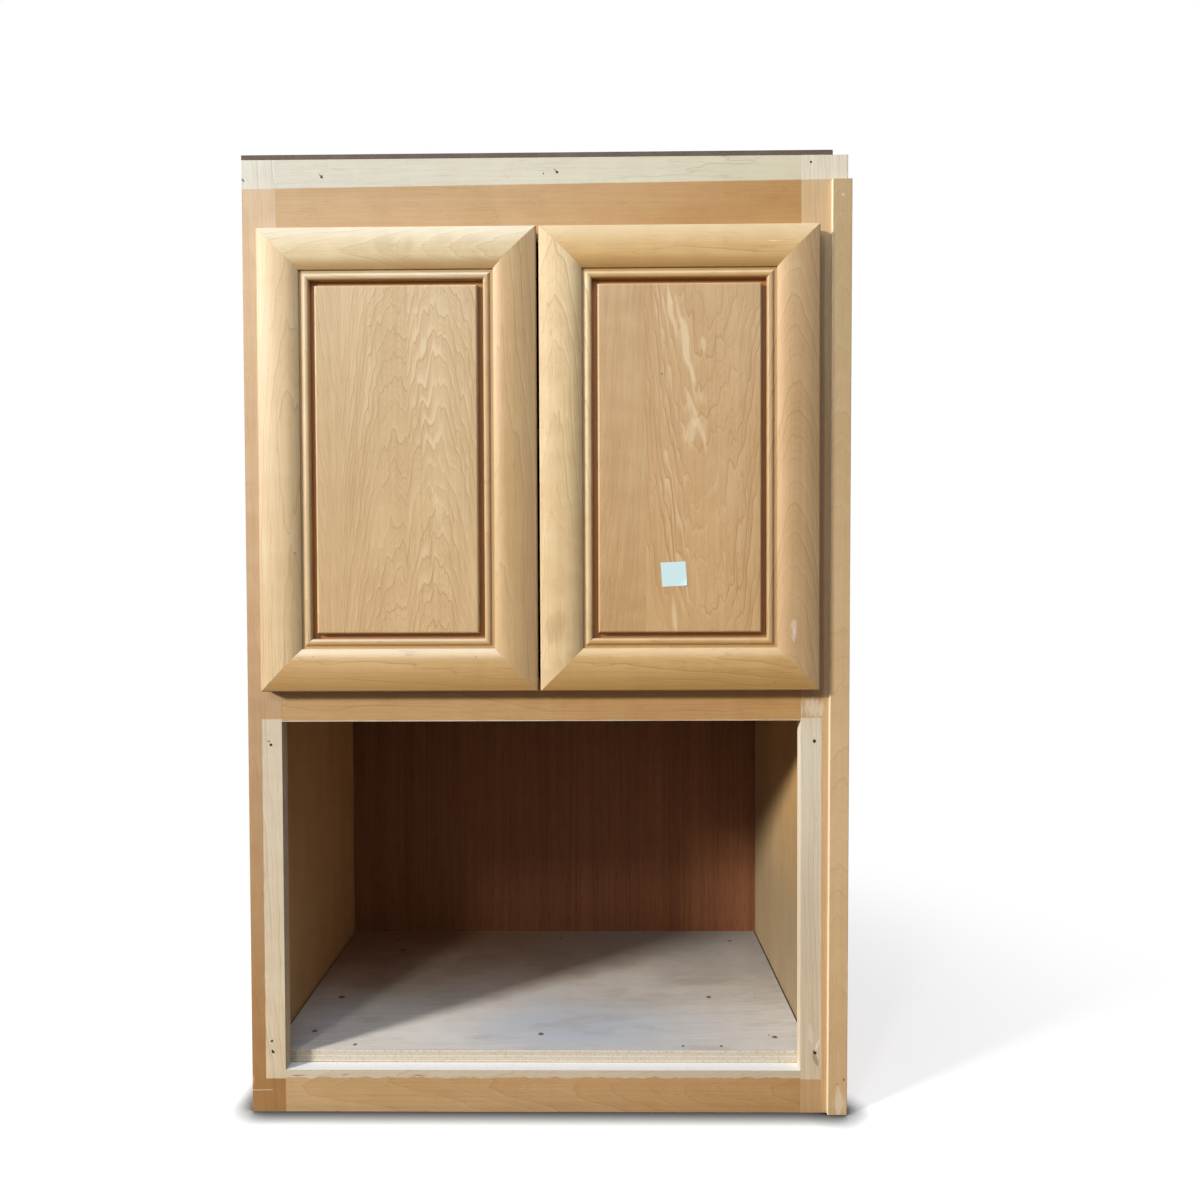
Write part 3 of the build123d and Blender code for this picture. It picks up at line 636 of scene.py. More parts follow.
moulding_band = band(bottom=1176, top=1300, slope=0.0079)
left_trim_band = band(west=18, east=60, bottom=43, top=506.5, ragged=1.6)
right_trim_band = band(west=700, east=730, bottom=43, top=506.5, ragged=1.6)
scuff = band(west=0, east=26, bottom=27.6, top=28.4, ragged=1.5)
lip_band = band(bottom=44.5, top=60, ragged=9)
edge_line = band(bottom=500.5, top=504.4, ragged=1.5)
old_wood = (0.10, 0.065, 0.04, 1)
hole_black = (0.012, 0.008, 0.006, 1)
whitish = (0.92, 0.86, 0.76, 1)
pale_wood = (0.84, 0.70, 0.47, 1)
# The graded tints of the bare bands and of the members below are partly the wood's own colour and ageing,
# partly painted light and shade: cooler and brighter towards the top and the left, where the light falls,
# warmer and darker low down and to the right.
bare_left = upward(100, 1176, (0.98, 0.92, 0.86), (0.96, 1.02, 1.14))
bare_right = upward(200, 430, (0.98, 0.93, 0.89), (1.13, 1.14, 1.18))
bare_top = rightward((0.94, 1.00, 1.12), (0.94, 0.955, 0.90))
bare_sill = rightward((0.88, 0.88, 0.90), (0.84, 0.80, 0.76))
left_stile_look = {
    "seed": 1,
    "figure": grown(-0.02, 1500, 5, wander=1.5, curl=0.8),
    "bands": (moulding_band, left_trim_band, scuff),
    "light_and_age": upward(60, 700, (0.58, 0.48, 0.32), (0.86, 0.91, 0.98)),
    "marks": (
        (2.0, 1187, 2.2, 3.0, -0.5, 0.3, 0.8, old_wood),
        (1, 40, 2, 9, 0, 0.9, 0.25, whitish),
    ),
    "holes": (
        (29.2, 473.5, 2.0, hole_black),
        (26.0, 91.6, 1.7, hole_black),
        (27.5, 77.3, 2.0, hole_black),
    ),
}
right_stile_look = {
    "seed": 2,
    "figure": grown(-0.06, 1800, 5),
    "bands": (moulding_band, right_trim_band),
    "light_and_age": upward(120, 1100, (0.92, 0.92, 0.86), (0.98, 1.04, 1.04)),
    "marks": (
        (718, 518, 18, 14, 0, 0.9, 0.5, whitish),
        (722, 70, 4, 10, -0.3, 0.9, 0.45, old_wood),
        (725, 88, 3, 9, 0.3, 0.9, 0.6, whitish),
        (716, 100, 5, 16, -0.2, 0.9, 0.3, whitish),
    ),
    "holes": (
        (720.8, 476.5, 2.3, hole_black),
        (722.2, 77.1, 2.2, hole_black),
        (715.5, 1203.1, 1.6, hole_black),
    ),
}
top_rail_look = {
    "seed": 3,
    "figure": grown(-0.05, 40, 1, wander=0.6, curl=0.45),
    "bands": (moulding_band,),
    "light_and_age": rightward((0.87, 0.935, 1.03), (0.82, 0.73, 0.55)),
    "marks": (
        (100.2, 1191.6, 1.1, 3.2, -0.8, 0.1, 0.9, old_wood),
        (396.4, 1195.4, 1.1, 3.2, -0.8, 0.1, 0.9, old_wood),
    ),
    "holes": ((101.8, 1189.9, 1.7, hole_black), (397.9, 1193.7, 1.7, hole_black)),
}
mid_rail_look = {
    "seed": 4,
    "figure": grown(0.04, 500, 3, curl=0.6),
    "bands": (edge_line,),
    "light_and_age": rightward((0.88, 0.91, 0.87), (0.94, 0.89, 0.76)),
}
bottom_rail_look = {
    "seed": 5,
    "figure": grown(0.01, 1500, 18, wander=2.6),
    "bands": (lip_band,),
    "light_and_age": rightward((0.97, 1.07, 1.18), (0.89, 0.87, 0.85)),
    "marks": (
        (60, 47, 12, 1.0, 3.0, 0.4, 0.8, old_wood),
        (215, 47.5, 12, 0.9, -4.0, 0.4, 0.7, old_wood),
        (120, 48, 6, 1.0, 2.0, 0.4, 0.6, old_wood),
    ),
}


def facing_axes(tree):
    """How far the surface faces along X, Y and Z."""
    return axes_of(tree, place(tree, "TexCoord").outputs["Normal"])


def whitened_sill(tree, point, colour):
    """The bottom rail's top edge, whitened by dust, with dark specks."""
    specks = eased_step(tree, speckle(tree, point, (240, 500, 240), 3.0), 0.62, 0.70, 0.96, 0.3)
    share = product(tree, eased_step(tree, facing_axes(tree)["Z"], 0.5, 0.9), specks)
    return blended(tree, share, colour, (0.85, 0.87, 0.88, 1))


for member, lie, colours, bare_light_and_age, look in (
    ("left_stile", "upright", stile_colours, bare_left, left_stile_look),
    ("right_stile", "upright", stile_colours, bare_right, right_stile_look),
    ("top_rail", "level", frame_colours, bare_top, top_rail_look),
    ("mid_rail", "level", frame_colours, bare_top, mid_rail_look),
    ("bottom_rail", "level", frame_colours, bare_sill, bottom_rail_look),
):
    surface_overlay = whitened_sill if member == "bottom_rail" else None
    finish = lacquered_maple(
        member, lie, colours=colours, bare=bare_colours, bare_light_and_age=bare_light_and_age, surface_overlay=surface_overlay, **look
    )
    eased(member, 0.3 * mm, finish)

# Scribe strip
# A thin maple strip that was nailed on the right stile to close the gap to the next cabinet. Its sawn
# edges are bare and its face is lacquered like the frame. Five brads hold it, a little out of plumb.

strip_colours = wood_colours(
    (0.60, 0.45, 0.27), (0.52, 0.37, 0.20), (0.36, 0.23, 0.11), (0.68, 0.54, 0.34), 0.35, 0.3
)
strip_marks = (
    (754, 1160, 1.6, 2.2, 0, 0.4, 0.45, whitish),
    (757, 46, 1.6, 3.0, 0, 0.3, 0.8, old_wood),
    (748, 18, 9, 22, 0, 0.7, 0.4, whitish),
)


def sawn_edge(tree, point, colour):
    """The strip's left edge, which was sawn to fit and is bare."""
    leftward = eased_step(tree, facing_axes(tree)["X"], -0.9, -0.5, 1.0, 0.0)
    return blended(tree, leftward, colour, (0.80, 0.72, 0.56, 1))


strip_finish = lacquered_maple(
    "scribe_strip", "upright", 6, grown(0.0, 1800, 26, wander=1.2), strip_colours, marks=strip_marks,
    light_and_age=upward(500, 950, (1.13, 1.08, 1.05), (0.90, 0.886, 0.838)), surface_overlay=sawn_edge,
)
eased("scribe_strip", 0.3 * mm, strip_finish)

# Plywood boards of the box
# Sides, bottom, deck and shelf are maple-veneered plywood, clear-coated inside. The sides are housed for
# the bottom, the deck and the back, and are glued and nailed behind the face frame.

# The layers of plywood on its edges, along one axis of the cabinet.
ply_layers, given, made = pattern_group(
    "ply_layers",
    {"Vector": origin, "Axis": (1.0, 0.0, 0.0), "Start": 0.0, "Layer": 2.3 * mm},
    {"Layer": "Float", "Glue": "Float"},
)
tree = ply_layers
reach = on_vectors(tree, "DOT_PRODUCT", given["Vector"], given["Axis"])
uneven = reckon(tree, "SUBTRACT", speckle(tree, given["Vector"], (9, 9, 9), 1.0), 0.5)
layer = reckon(tree, "DIVIDE", reckon(tree, "SUBTRACT", reach, given["Start"]), given["Layer"])
layer = reckon(tree, "MULTIPLY_ADD", uneven, 0.3, layer)
tree.links.new(reckon(tree, "FLOORED_MODULO", reckon(tree, "FLOOR", layer), 2.0), made["Layer"])
off_joint = reckon(tree, "PINGPONG", layer, 0.5)
tree.links.new(eased_step(tree, off_joint, 0.03, 0.09, 1.0, 0.0), made["Glue"])

# The colours of plywood's edge: its long layers, its end-grain layers, rough spots and glue.
fresh_edge = ((0.56, 0.43, 0.28, 1), (0.40, 0.28, 0.17, 1), (0.30, 0.20, 0.12, 1), (0.16, 0.09, 0.05, 1))


def plywood(node, lie, seed, figure, colours, layers, rough=0.6, surface_overlay=None, edges=fresh_edge, light_and_age=None):
    """Plywood with a figured face, and its layers on every edge: two kinds, rough spots and glue. Only the
    face that looks into the cabinet gets the graded tint, which paints light and shade there."""
    low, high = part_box(node)
    into = Vector(lies[lie][1])
    thickness = abs(into.dot(high - low))
    material, tree, surface = new_material(node + "_plywood")
    point, vector = board_vector(tree, node, lie, seed)
    masks, feeds = figured(tree, vector, figure)
    colour = coloured(tree, feeds, colours)
    if surface_overlay:
        colour = surface_overlay(tree, point, colour)
    facing = on_vectors(tree, "DOT_PRODUCT", place(tree, "TexCoord").outputs["Normal"], into)
    if light_and_age:
        to_inside = 1.0 if low.x < 0 else -1.0
        inside = reckon(tree, "GREATER_THAN", product(tree, facing, to_inside), 0.5)
        colour = blended(tree, inside, colour, tinted_for_light_and_age(tree, point, colour, light_and_age))
    layer_settings = {"Axis": into, "Start": min(into.dot(low), into.dot(high)), "Layer": thickness / layers}
    cut = laid(tree, ply_layers, point, layer_settings)
    long_layer, end_layer, rough_spot, glue = edges
    edge = blended(tree, cut["Layer"], long_layer, end_layer)
    rough_cut = speckle(tree, point, (300, 300, 300), 3.0)
    edge = blended(tree, eased_step(tree, rough_cut, 0.45, 0.8), edge, rough_spot)
    edge = blended(tree, cut["Glue"], edge, glue)
    on_edge = reckon(tree, "LESS_THAN", reckon(tree, "ABSOLUTE", facing), 0.5)
    colour = blended(tree, on_edge, colour, edge)
    edge_rough = 0.95
    rough = reckon(tree, "MULTIPLY_ADD", on_edge, edge_rough - rough, rough)
    height = reckon(tree, "MULTIPLY_ADD", rough_cut, on_edge, masks["Fibre"])
    feed(tree, surface, {"Base Color": colour, "Roughness": rough, "Normal": relief(tree, 0.25, 0.5, height)})
    return material


def dress(node, material):
    """Gives a CAD piece that keeps its own shape its finish."""
    frame["nodes"][node].material_slots[0].material = material


veneer_figure = grown(0.03, 500, 5, wander=1.8)
veneer_colours = wood_colours(
    (0.46, 0.315, 0.165), (0.38, 0.25, 0.12), (0.24, 0.13, 0.055), (0.52, 0.38, 0.21), 0.35, 0.25
)
# Painted light on the sides' inner faces: the left side lighter all over, the right side darker low down and
# lighter high up.
left_side_painted_light = upward(60, 500, (1.35, 1.28, 1.15), (1.45, 1.32, 1.15))
right_side_painted_light = upward(200, 480, (0.70, 0.77, 0.88), (1.45, 1.30, 1.06))
for seed, node, lie, layers, light_and_age in (
    (30, "left_side", "side", 7, left_side_painted_light),
    (31, "right_side", "side", 7, right_side_painted_light),
    (32, "bottom_panel", "flat", 5, None),
    (33, "fixed_deck", "flat", 5, None),
    (34, "adjustable_shelf", "flat", 7, None),
):
    dress(node, plywood(node, lie, seed, veneer_figure, veneer_colours, layers, light_and_age=light_and_age))

# Floor board of the bay
# A piece of rough construction plywood, nailed down as a shelf for the oven. It is whitish and worn by
# scuffs, with small dark knots; it darkens towards its back, partly from dirt and partly as painted shade,
# and a bluish patch on it is partly chalk and partly a painted sheen.

floor_colours = wood_colours(
    (0.75, 0.72, 0.69), (0.63, 0.59, 0.55), (0.44, 0.35, 0.27), (0.74, 0.71, 0.67), 0.3, 0.5
)
floor_knots = (
    (105, 391, 5), (121, 348, 6), (124, 34, 3), (67, 173, 5), (59, 70, 4), (557, 31, 2.5), (607, 31, 2.5),
    (682, 55, 4), (609, 174, 4), (368, 63, 4), (383, 395, 3), (672, 387, 4),
)


def scuffed_and_shaded(tree, point, colour):
    """A bluish patch, partly chalk and partly a painted sheen; smudges; knots; and darkening towards the back
    of the board, partly soiling and partly painted shade.
    """
    board_low, board_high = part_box("bay_floor_board")
    # The bluish patch is partly chalk and partly a painted sheen.
    chalk_and_sheen_feeds = {"Vector": point, "Location": (-0.254, 0.945, 0), "Scale": (4.8, 7.0, 0)}
    chalk_and_sheen = on_vectors(tree, "LENGTH", place(tree, "Mapping", chalk_and_sheen_feeds).outputs[0])
    chalk_and_sheen = reckon(tree, "ADD", chalk_and_sheen, swing(tree, speckle(tree, point, (9, 14, 9), 3.0), 0.5))
    colour = blended(tree, eased_step(tree, chalk_and_sheen, 0.0, 1.2, 0.85, 0.0), colour, (0.45, 0.51, 0.62, 1))
    smudge = eased_step(tree, speckle(tree, point, (9, 26, 9), 4.0, 0.6), 0.52, 0.72)
    colour = blended(tree, product(tree, smudge, 0.4), colour, (0.42, 0.35, 0.29, 1))
    # Darker towards the back, browner at the left: partly dirt, partly painted shade deep in the bay.
    axes = axes_of(tree, point)
    uneven = swing(tree, speckle(tree, point, (10, 14, 10), 4.0, 0.6), 0.09)
    inward = reckon(tree, "ADD", axes["Y"], uneven)
    dirt_and_shade = eased_step(tree, inward, board_low.y + 0.06, board_low.y + 0.40, 0.0, 0.92)
    rightward_share = eased_step(tree, axes["X"], board_low.x + 0.1, board_high.x - 0.1)
    dirt_and_shade_colour = blended(tree, rightward_share, (0.26, 0.12, 0.045, 1), (0.24, 0.23, 0.23, 1))
    colour = blended(tree, dirt_and_shade, colour, dirt_and_shade_colour)
    spots = [((*from_corner(x, y, 0).xy, board_high.z), radius) for x, y, radius in floor_knots]
    return spotted(tree, point, colour, spots, (0.17, 0.11, 0.07, 1))


floor_figure = grown(0.05, 300, 10, wander=2.5)
chalky_edge = ((0.66, 0.63, 0.56, 1), (0.60, 0.55, 0.47, 1), (0.50, 0.41, 0.31, 1), (0.42, 0.33, 0.24, 1))
board_finish = plywood(
    "bay_floor_board", "flat", 36, floor_figure, floor_colours, 5, 0.75, scuffed_and_shaded, chalky_edge
)
eased("bay_floor_board", 0.3 * mm, board_finish)

# Back panel
# Thin lauan plywood, dark red-brown with fine upright pores, let into grooves in the sides and
# stapled to the hang rails behind it. It was never lacquered.

lauan, tree, surface = new_material("lauan")
point, vector = board_vector(tree, "back_panel", "upright", 40)
ribbon = speckle(tree, vector, (26, 26, 0.9), 3.0)
fine_stripe = speckle(tree, vector, (240, 240, 3.0), 3.0, 0.6)
dark = reckon(tree, "ADD", product(tree, ribbon, 0.5), product(tree, fine_stripe, 0.6))
dark = eased_step(tree, dark, 0.35, 0.75)
colour = blended(tree, dark, (0.235, 0.090, 0.035, 1), (0.155, 0.050, 0.016, 1))
pores = eased_step(tree, speckle(tree, vector, (900, 900, 34), 1.0), 0.60, 0.70)
colour = blended(tree, product(tree, pores, 0.5), colour, (0.07, 0.022, 0.008, 1))
rough = reckon(tree, "MULTIPLY_ADD", pores, 0.1, 0.72)
normal = relief(tree, 0.35, 0.4, product(tree, pores, -1.0))
feed(tree, surface, {"Base Color": colour, "Roughness": rough, "Normal": normal})
dress("back_panel", lauan)

# Hang rails and glue blocks
# Sawn poplar, left raw: three rails across the back take the screws to the wall, and three-cornered
# blocks are glued and stapled into the corners of the box.

poplar_colours = wood_colours(
    (0.62, 0.52, 0.34), (0.50, 0.42, 0.25), (0.36, 0.28, 0.15), (0.68, 0.60, 0.42), 0.5, 0.3
)
sawn_nodes = ("top_hang_rail", "mid_hang_rail", "bottom_hang_rail", "bottom_glue_blocks", "top_glue_blocks")
for seed, node in enumerate(sawn_nodes, 44):
    dress(node, lacquered_maple(node, "level", seed, grown(0.01, 2000, 9), poplar_colours, rough=0.8))

# Top sheet
# Thin brown hardboard tacked on top as a dust cover. It is dull and fibrous, greyed by dust above,
# and its sawn edges are furred.

hardboard, tree, surface = new_material("hardboard")
point = object_point(tree)
fibres = speckle(tree, point, (260, 260, 900), 4.0, 0.65)
blotches = speckle(tree, point, (14, 14, 14), 3.0)
colour = blended(tree, eased_step(tree, fibres, 0.3, 0.7), (0.078, 0.054, 0.041, 1), (0.14, 0.105, 0.083, 1))
colour = blended(tree, eased_step(tree, blotches, 0.4, 0.7, 0.0, 0.4), colour, (0.18, 0.15, 0.125, 1))
upper_face = eased_step(tree, facing_axes(tree)["Z"], 0.5, 0.9)
dust = product(tree, upper_face, eased_step(tree, blotches, 0.3, 0.7, 0.2, 0.7))
colour = blended(tree, dust, colour, (0.34, 0.31, 0.28, 1))
rough = reckon(tree, "MULTIPLY_ADD", fibres, 0.1, 0.8)
feed(tree, surface, {"Base Color": colour, "Roughness": rough, "Normal": relief(tree, 0.5, 0.6, fibres)})
eased("top_sheet", 0.4 * mm, hardboard)

# Shelf edge, dowels and splines
# A maple lipping is glued on the shelf's front. Fluted beech dowels pin the face frame's joints, and
# flat beech splines are glued across the doors' mitres.

small_figure = grown(0.0, 900, 5)
shelf_edge_finish = lacquered_maple("shelf_front_edge", "level", 50, small_figure, stile_colours)
eased("shelf_front_edge", 0.1 * mm, shelf_edge_finish)
beech_colours = wood_colours(
    (0.60, 0.42, 0.27), (0.52, 0.34, 0.21), (0.33, 0.19, 0.10), (0.64, 0.47, 0.31), 0.3, 0.2
)
for seed, node in enumerate(("frame_dowels", "left_door_splines", "right_door_splines"), 52):
    dress(node, lacquered_maple(node, "level", seed, small_figure, beech_colours, rough=0.7))

# Metal fittings
# Hinge arms, plates, cups and shelf pins are nickel-plated steel, the screws are zinc-plated, and nails,
# brads and hinge pins are bright steel wire, a little dulled.


def metal(name, colour, dull, least_rough, patchiness):
    """Plated steel with fine scratches and dull patches, rougher in the patches."""
    material, tree, surface = new_material(name)
    point = object_point(tree)
    patches = speckle(tree, point, (120, 120, 120), 3.0)
    rubbed = speckle(tree, point, (2600, 300, 900), 3.0, 0.6)
    shade = blended(tree, eased_step(tree, patches, 0.35, 0.75), colour, dull)
    rough = reckon(tree, "MULTIPLY_ADD", patches, patchiness, least_rough)
    normal = relief(tree, 0.08, 0.2, rubbed)
    feed(tree, surface, {"Base Color": shade, "Metallic": 1.0, "Roughness": rough, "Normal": normal})
    return material


nickel = metal("nickel", (0.66, 0.64, 0.60, 1), (0.52, 0.50, 0.46, 1), 0.20, 0.25)
zinc = metal("zinc", (0.70, 0.70, 0.66, 1), (0.55, 0.54, 0.48, 1), 0.24, 0.3)
steel_wire = metal("steel_wire", (0.46, 0.45, 0.44, 1), (0.25, 0.21, 0.18, 1), 0.34, 0.3)
spring_leaf = metal("spring_leaf", (0.50, 0.50, 0.52, 1), (0.40, 0.40, 0.42, 1), 0.22, 0.2)
for node in ("shelf_pins", *(n for n in frame["nodes"] if n.endswith(("hinge_arm", "hinge_cup")))):
    dress(node, nickel)
for node in (n for n in frame["nodes"] if n.endswith("_screws")):
    dress(node, zinc)
for node in ("strip_brads", "floor_board_nails", "left_hinge_pins", "right_hinge_pins"):
    dress(node, steel_wire)
for node in ("left_hinge_springs", "right_hinge_springs"):
    dress(node, spring_leaf)

# Doors
# Two mitred maple frames, moulded with a broad hump, a fillet and a bead, each round a floating raised
# panel glued up from boards. They are sanded and lacquered a lighter honey colour than the face frame.

door_colours = wood_colours(
    (0.67, 0.48, 0.265), (0.565, 0.375, 0.185), (0.40, 0.235, 0.10), (0.76, 0.59, 0.36), 0.7, 0.4
)
brown_wood = (0.42, 0.25, 0.115, 1)
grime_and_shade = (0.38, 0.15, 0.035, 1)
# Each panel's graded tint, bluer high up, is painted cool light from above.
panel_looks = {
    "left": {
        "figure": grown(0.052, 1900, 30, wander=2.4, jag=0.8),
        "seams": ((127.6, 0.010, 0.03, 0.3, 0.0, 0.15), (210.0, 0.010, 0.035, 0.0, 0.0, 0.05)),
        "light_and_age": upward(560, 1060, (1.03, 1.01, 1.0), (0.96, 1.04, 1.17)),
        "zones": ((240, 900, 24, 190, -0.1, 0.35), (236, 700, 16, 60, 0, 0.3)),
        "marks": (
            (222, 1029, 24, 12, 0, 0.9, 0.22, brown_wood),
            (247, 775, 7, 22, -0.2, 0.9, 0.3, pale_wood),
        ),
    },
    "right": {
        "figure": grown(0.034, 1200, -22, wander=2.8, jag=0.9),
        "seams": ((506.7, 0.0, 0.08, 0.5, 0.4, 0.2),),
        "light_and_age": upward(560, 1060, (0.985, 0.90, 0.81), (0.92, 0.895, 0.93)),
        "zones": (
            (552, 955, 26, 120, -0.28, 0.5),
            (545, 760, 20, 150, -0.1, 0.4),
            (590, 800, 10, 60, -0.1, 0.3),
        ),
        "marks": (
            (556, 975, 5, 66, -0.20, 0.6, 0.55, pale_wood),
            (541, 1010, 3.5, 42, -0.12, 0.6, 0.5, pale_wood),
            (577, 972, 5, 13, 0, 0.7, 0.5, pale_wood),
            (566, 884, 5, 42, -0.34, 0.6, 0.5, pale_wood),
            (562, 866, 7, 20, 0, 0.8, 0.4, pale_wood),
            (541, 640, 4.5, 30, -0.25, 0.5, 0.5, pale_wood),
            (478, 652, 36, 14, 0, 0.9, 0.25, brown_wood),
        ),
        "holes": ((527, 936, 1.0, old_wood),),
    },
}
member_lies = {"hinge_stile": "upright", "free_stile": "upright", "top_rail": "level", "bottom_rail": "level"}
member_figures = {
    "left_door_hinge_stile": grown(0.03, 500, 3, curl=0.5),
    "left_door_free_stile": grown(-0.03, 600, 6, curl=0.4),
    "left_door_top_rail": grown(0.0, 2600, 20, wander=3.4, curl=0.8),
    "left_door_bottom_rail": grown(0.03, 500, 5, curl=0.5),
    "right_door_hinge_stile": grown(0.0, 2400, 26, wander=2.4),
    "right_door_free_stile": grown(-0.02, 800, 10, curl=0.9),
    "right_door_top_rail": grown(0.04, 500, 3, curl=0.6),
    "right_door_bottom_rail": grown(0.03, 500, 5, curl=0.7),
}
# How pale or how amber each member is, in red, green and blue: partly its board's own tone, partly painted
# light and shade on it.
member_tones_and_light = {
    "left_door_hinge_stile": (0.93, 0.99, 1.08),
    "left_door_free_stile": (0.88, 0.85, 0.81),
    "left_door_top_rail": (0.98, 1.10, 1.22),
    "left_door_bottom_rail": (0.94, 0.89, 0.76),
    "right_door_hinge_stile": (0.92, 0.88, 0.88),
    "right_door_free_stile": (1.00, 1.08, 1.15),
    "right_door_top_rail": (0.96, 0.89, 0.70),
    "right_door_bottom_rail": (0.91, 0.81, 0.61),
}
# How thickly a pale tone lies on the upper slopes of each door's moulding, and its colour: partly dust,
# partly a painted sheen of the light from above.
slope_dust_and_sheen = {"left": (0.42, (0.93, 0.90, 0.80, 1)), "right": (0.30, (0.95, 0.86, 0.66, 1))}
member_marks = {
    "left_door_top_rail": (
        (187, 1098, 22, 13, 0, 0.5, 0.35, brown_wood),
        (215, 1096, 9, 12, 0, 0.5, 0.3, brown_wood),
    ),
    "left_door_bottom_rail": (
        (91.8, 587.4, 1.6, 1.6, 0, 0.2, 0.5, old_wood),
        (295.2, 586.8, 1.8, 2.4, 0, 0.2, 0.45, old_wood),
    ),
    "right_door_top_rail": (
        (620, 1118, 9, 1.2, 0, 0.4, 0.5, brown_wood),
        (664, 1097, 7, 1.0, 0, 0.4, 0.5, whitish),
    ),
    "right_door_bottom_rail": (
        (413.3, 592.6, 1.6, 1.6, 0, 0.3, 0.6, old_wood),
        (667.3, 553.2, 1.6, 1.8, 0, 0.3, 0.6, old_wood),
    ),
    "right_door_hinge_stile": (
        (690.5, 624, 3.2, 9, 0, 1.6, 0.5, (0.90, 0.84, 0.74, 1)),
        (689.0, 612, 2.6, 7, 0.1, 1.6, 0.45, (0.90, 0.84, 0.74, 1)),
    ),
    "right_door_free_stile": ((394, 625, 18, 24, 0.3, 0.6, 0.45, brown_wood),),
}

# Where a door's moulding darkens deep inside the hump, the more the deeper: partly finish and dirt gathered
# there, partly painted shade in its recesses.
moulding_dirt_and_shade, given, made = pattern_group(
    "moulding_dirt_and_shade",
    {"Vector": origin, "Middle": origin, "Reach": (0.1, 0.0, 0.2), "Front": -0.2},
    {"Fillet": "Float", "Groove": "Float"},
)
tree = moulding_dirt_and_shade
offset = on_vectors(tree, "ABSOLUTE", on_vectors(tree, "SUBTRACT", given["Vector"], given["Middle"]))
axes = axes_of(tree, on_vectors(tree, "SUBTRACT", offset, given["Reach"]))
inside = eased_step(tree, reckon(tree, "MAXIMUM", axes["X"], axes["Z"]), -1 * mm, 0.0, 1.0, 0.0)
depth = reckon(tree, "SUBTRACT", axes_of(tree, given["Vector"])["Y"], given["Front"])
uneven = swing(tree, speckle(tree, given["Vector"], (60, 60, 60), 3.0), 0.8 * mm)
depth = reckon(tree, "ADD", depth, uneven)
fillet_dirt_and_shade = eased_step(tree, depth, 4.4 * mm, 6.2 * mm)
groove_dirt_and_shade = eased_step(tree, depth, 8.4 * mm, 12.0 * mm)
tree.links.new(product(tree, fillet_dirt_and_shade, inside), made["Fillet"])
tree.links.new(product(tree, groove_dirt_and_shade, inside), made["Groove"])


def worn_and_shaded_moulding(side, tint=None):
    """Soiling and painted shade in a door's moulding. The moulded members also have their own tint, partly
    painted light, with a pale tone of dust and painted sheen on upward slopes and amber with painted shade on
    downward ones.
    """
    west, east = ("hinge", "free") if side == "left" else ("free", "hinge")
    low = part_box(f"{side}_door_{west}_stile")[0]
    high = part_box(f"{side}_door_{east}_stile")[1]
    hump_inner = 51 * mm
    reach = (high - low) / 2 - Vector((hump_inner, 0, hump_inner))
    settings = {"Middle": (low + high) / 2, "Reach": reach, "Front": low.y}

    def surface_overlay(tree, point, colour):
        facing = facing_axes(tree)
        if tint:
            # The member's tint is partly its board's own tone and partly painted light and shade.
            colour = on_vectors(tree, "MULTIPLY", colour, tint)
            # Pale tone on upward slopes: partly dust, partly a painted sheen of the light from above.
            thickness, dust_and_sheen_colour = slope_dust_and_sheen[side]
            dust = eased_step(tree, facing["Z"], 0.04, 0.40, 0.0, thickness)
            colour = blended(tree, dust, colour, dust_and_sheen_colour)
            # Amber on downward slopes: partly pooled finish, partly painted shade.
            amber = eased_step(tree, facing["Z"], -0.35, -0.02, 0.55, 0.0)
            colour = blended(tree, amber, colour, (0.50, 0.28, 0.09, 1))
        on_front = eased_step(tree, facing["Y"], 0.2, 0.6, 1.0, 0.0)
        masks = laid(tree, moulding_dirt_and_shade, point, settings)
        # Darker fillet and groove: partly dirt, partly painted shade in the recesses.
        fillet = product(tree, masks["Fillet"], product(tree, on_front, 0.36))
        groove = product(tree, masks["Groove"], product(tree, on_front, 0.82))
        return blended(tree, groove, blended(tree, fillet, colour, (0.36, 0.20, 0.085, 1)), grime_and_shade)

    return surface_overlay


door_arris = 0.12 * mm
for side, first_seed in (("left", 10), ("right", 15)):
    for seed, (member, lie) in enumerate(member_lies.items(), first_seed):
        node = f"{side}_door_{member}"
        finish = lacquered_maple(
            node, lie, seed, member_figures[node], door_colours,
            marks=member_marks.get(node, ()), surface_overlay=worn_and_shaded_moulding(side, member_tones_and_light[node]),
        )
        eased(node, door_arris, finish)
    node = f"{side}_door_panel"
    panel_finish = lacquered_maple(
        node, "upright", first_seed + 4, colours=door_colours, surface_overlay=worn_and_shaded_moulding(side), **panel_looks[side]
    )
    eased(node, door_arris, panel_finish)

# Door bumpers
# Clear soft plastic buttons stuck on the doors' backs at their free corners, where they land on the
# rails and hold the doors a little off the face frame.

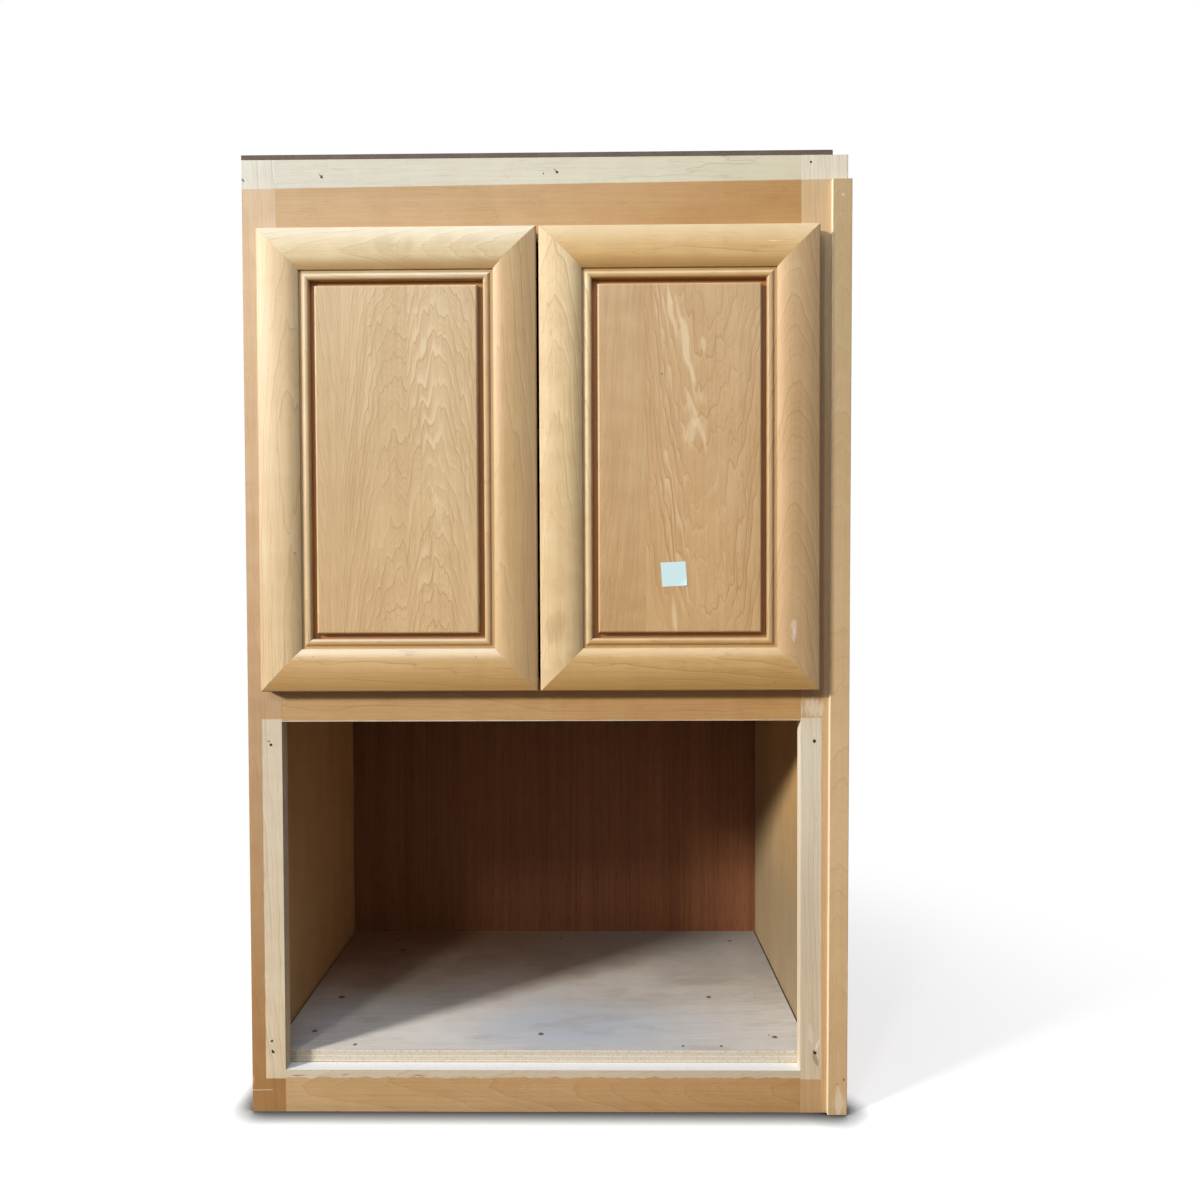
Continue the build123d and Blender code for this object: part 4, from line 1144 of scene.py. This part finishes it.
bumper_plastic, tree, surface = new_material("bumper_plastic")
cloudy = speckle(tree, object_point(tree), (300, 300, 300), 2.0)
colour = blended(tree, cloudy, (0.93, 0.93, 0.90, 1), (0.84, 0.82, 0.76, 1))
rough = reckon(tree, "MULTIPLY_ADD", cloudy, 0.2, 0.12)
feed(tree, surface, {"Base Color": colour, "Roughness": rough, "Transmission Weight": 0.85, "IOR": 1.45})
dress("left_door_bumpers", bumper_plastic)
dress("right_door_bumpers", bumper_plastic)

# Paper label
# A small square of white paper, stuck low on the right door's panel a little askew. One corner has
# begun to lift. It is blank.

label_centre = from_corner(541, 0, 688.8)
label_width, label_height = 31 * mm, 30 * mm
label_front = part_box("right_door_panel")[0].y
label_shape = bmesh.new()
bmesh.ops.create_grid(label_shape, x_segments=14, y_segments=14, size=0.5)
bmesh.ops.scale(label_shape, vec=(label_width, label_height, 1), verts=label_shape.verts)
for vert in label_shape.verts:
    corner = max(0.0, (vert.co.x / label_width - vert.co.y / label_height) - 0.55)
    vert.co.z = 0.02 * mm + 4.5 * mm * corner ** 2
    vert.co.x += 0.8 * mm * (0.5 - vert.co.y / label_height)
label_turn = Matrix.Rotation(math.radians(90), 3, "X") @ Matrix.Rotation(math.radians(2.5), 3, "Z")
bmesh.ops.rotate(label_shape, cent=(0, 0, 0), matrix=label_turn, verts=label_shape.verts)
bmesh.ops.translate(label_shape, vec=(label_centre.x, label_front, label_centre.z), verts=label_shape.verts)
label_mesh = bpy.data.meshes.new("paper_label")
label_shape.to_mesh(label_mesh)
label_shape.free()
label = new_piece("paper_label", label_mesh)
thickness = label.modifiers.new("paper", "SOLIDIFY")
thickness.thickness = 0.12 * mm
thickness.offset = -1
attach(label, "right_door")
paper, tree, surface = new_material("label_paper")
pulp = speckle(tree, object_point(tree), (500, 500, 500), 3.0)
colour = blended(tree, pulp, (0.70, 0.93, 1.0, 1), (0.64, 0.87, 0.97, 1))
feed(tree, surface, {"Base Color": colour, "Roughness": reckon(tree, "MULTIPLY_ADD", pulp, 0.1, 0.75)})
label_mesh.materials.append(paper)
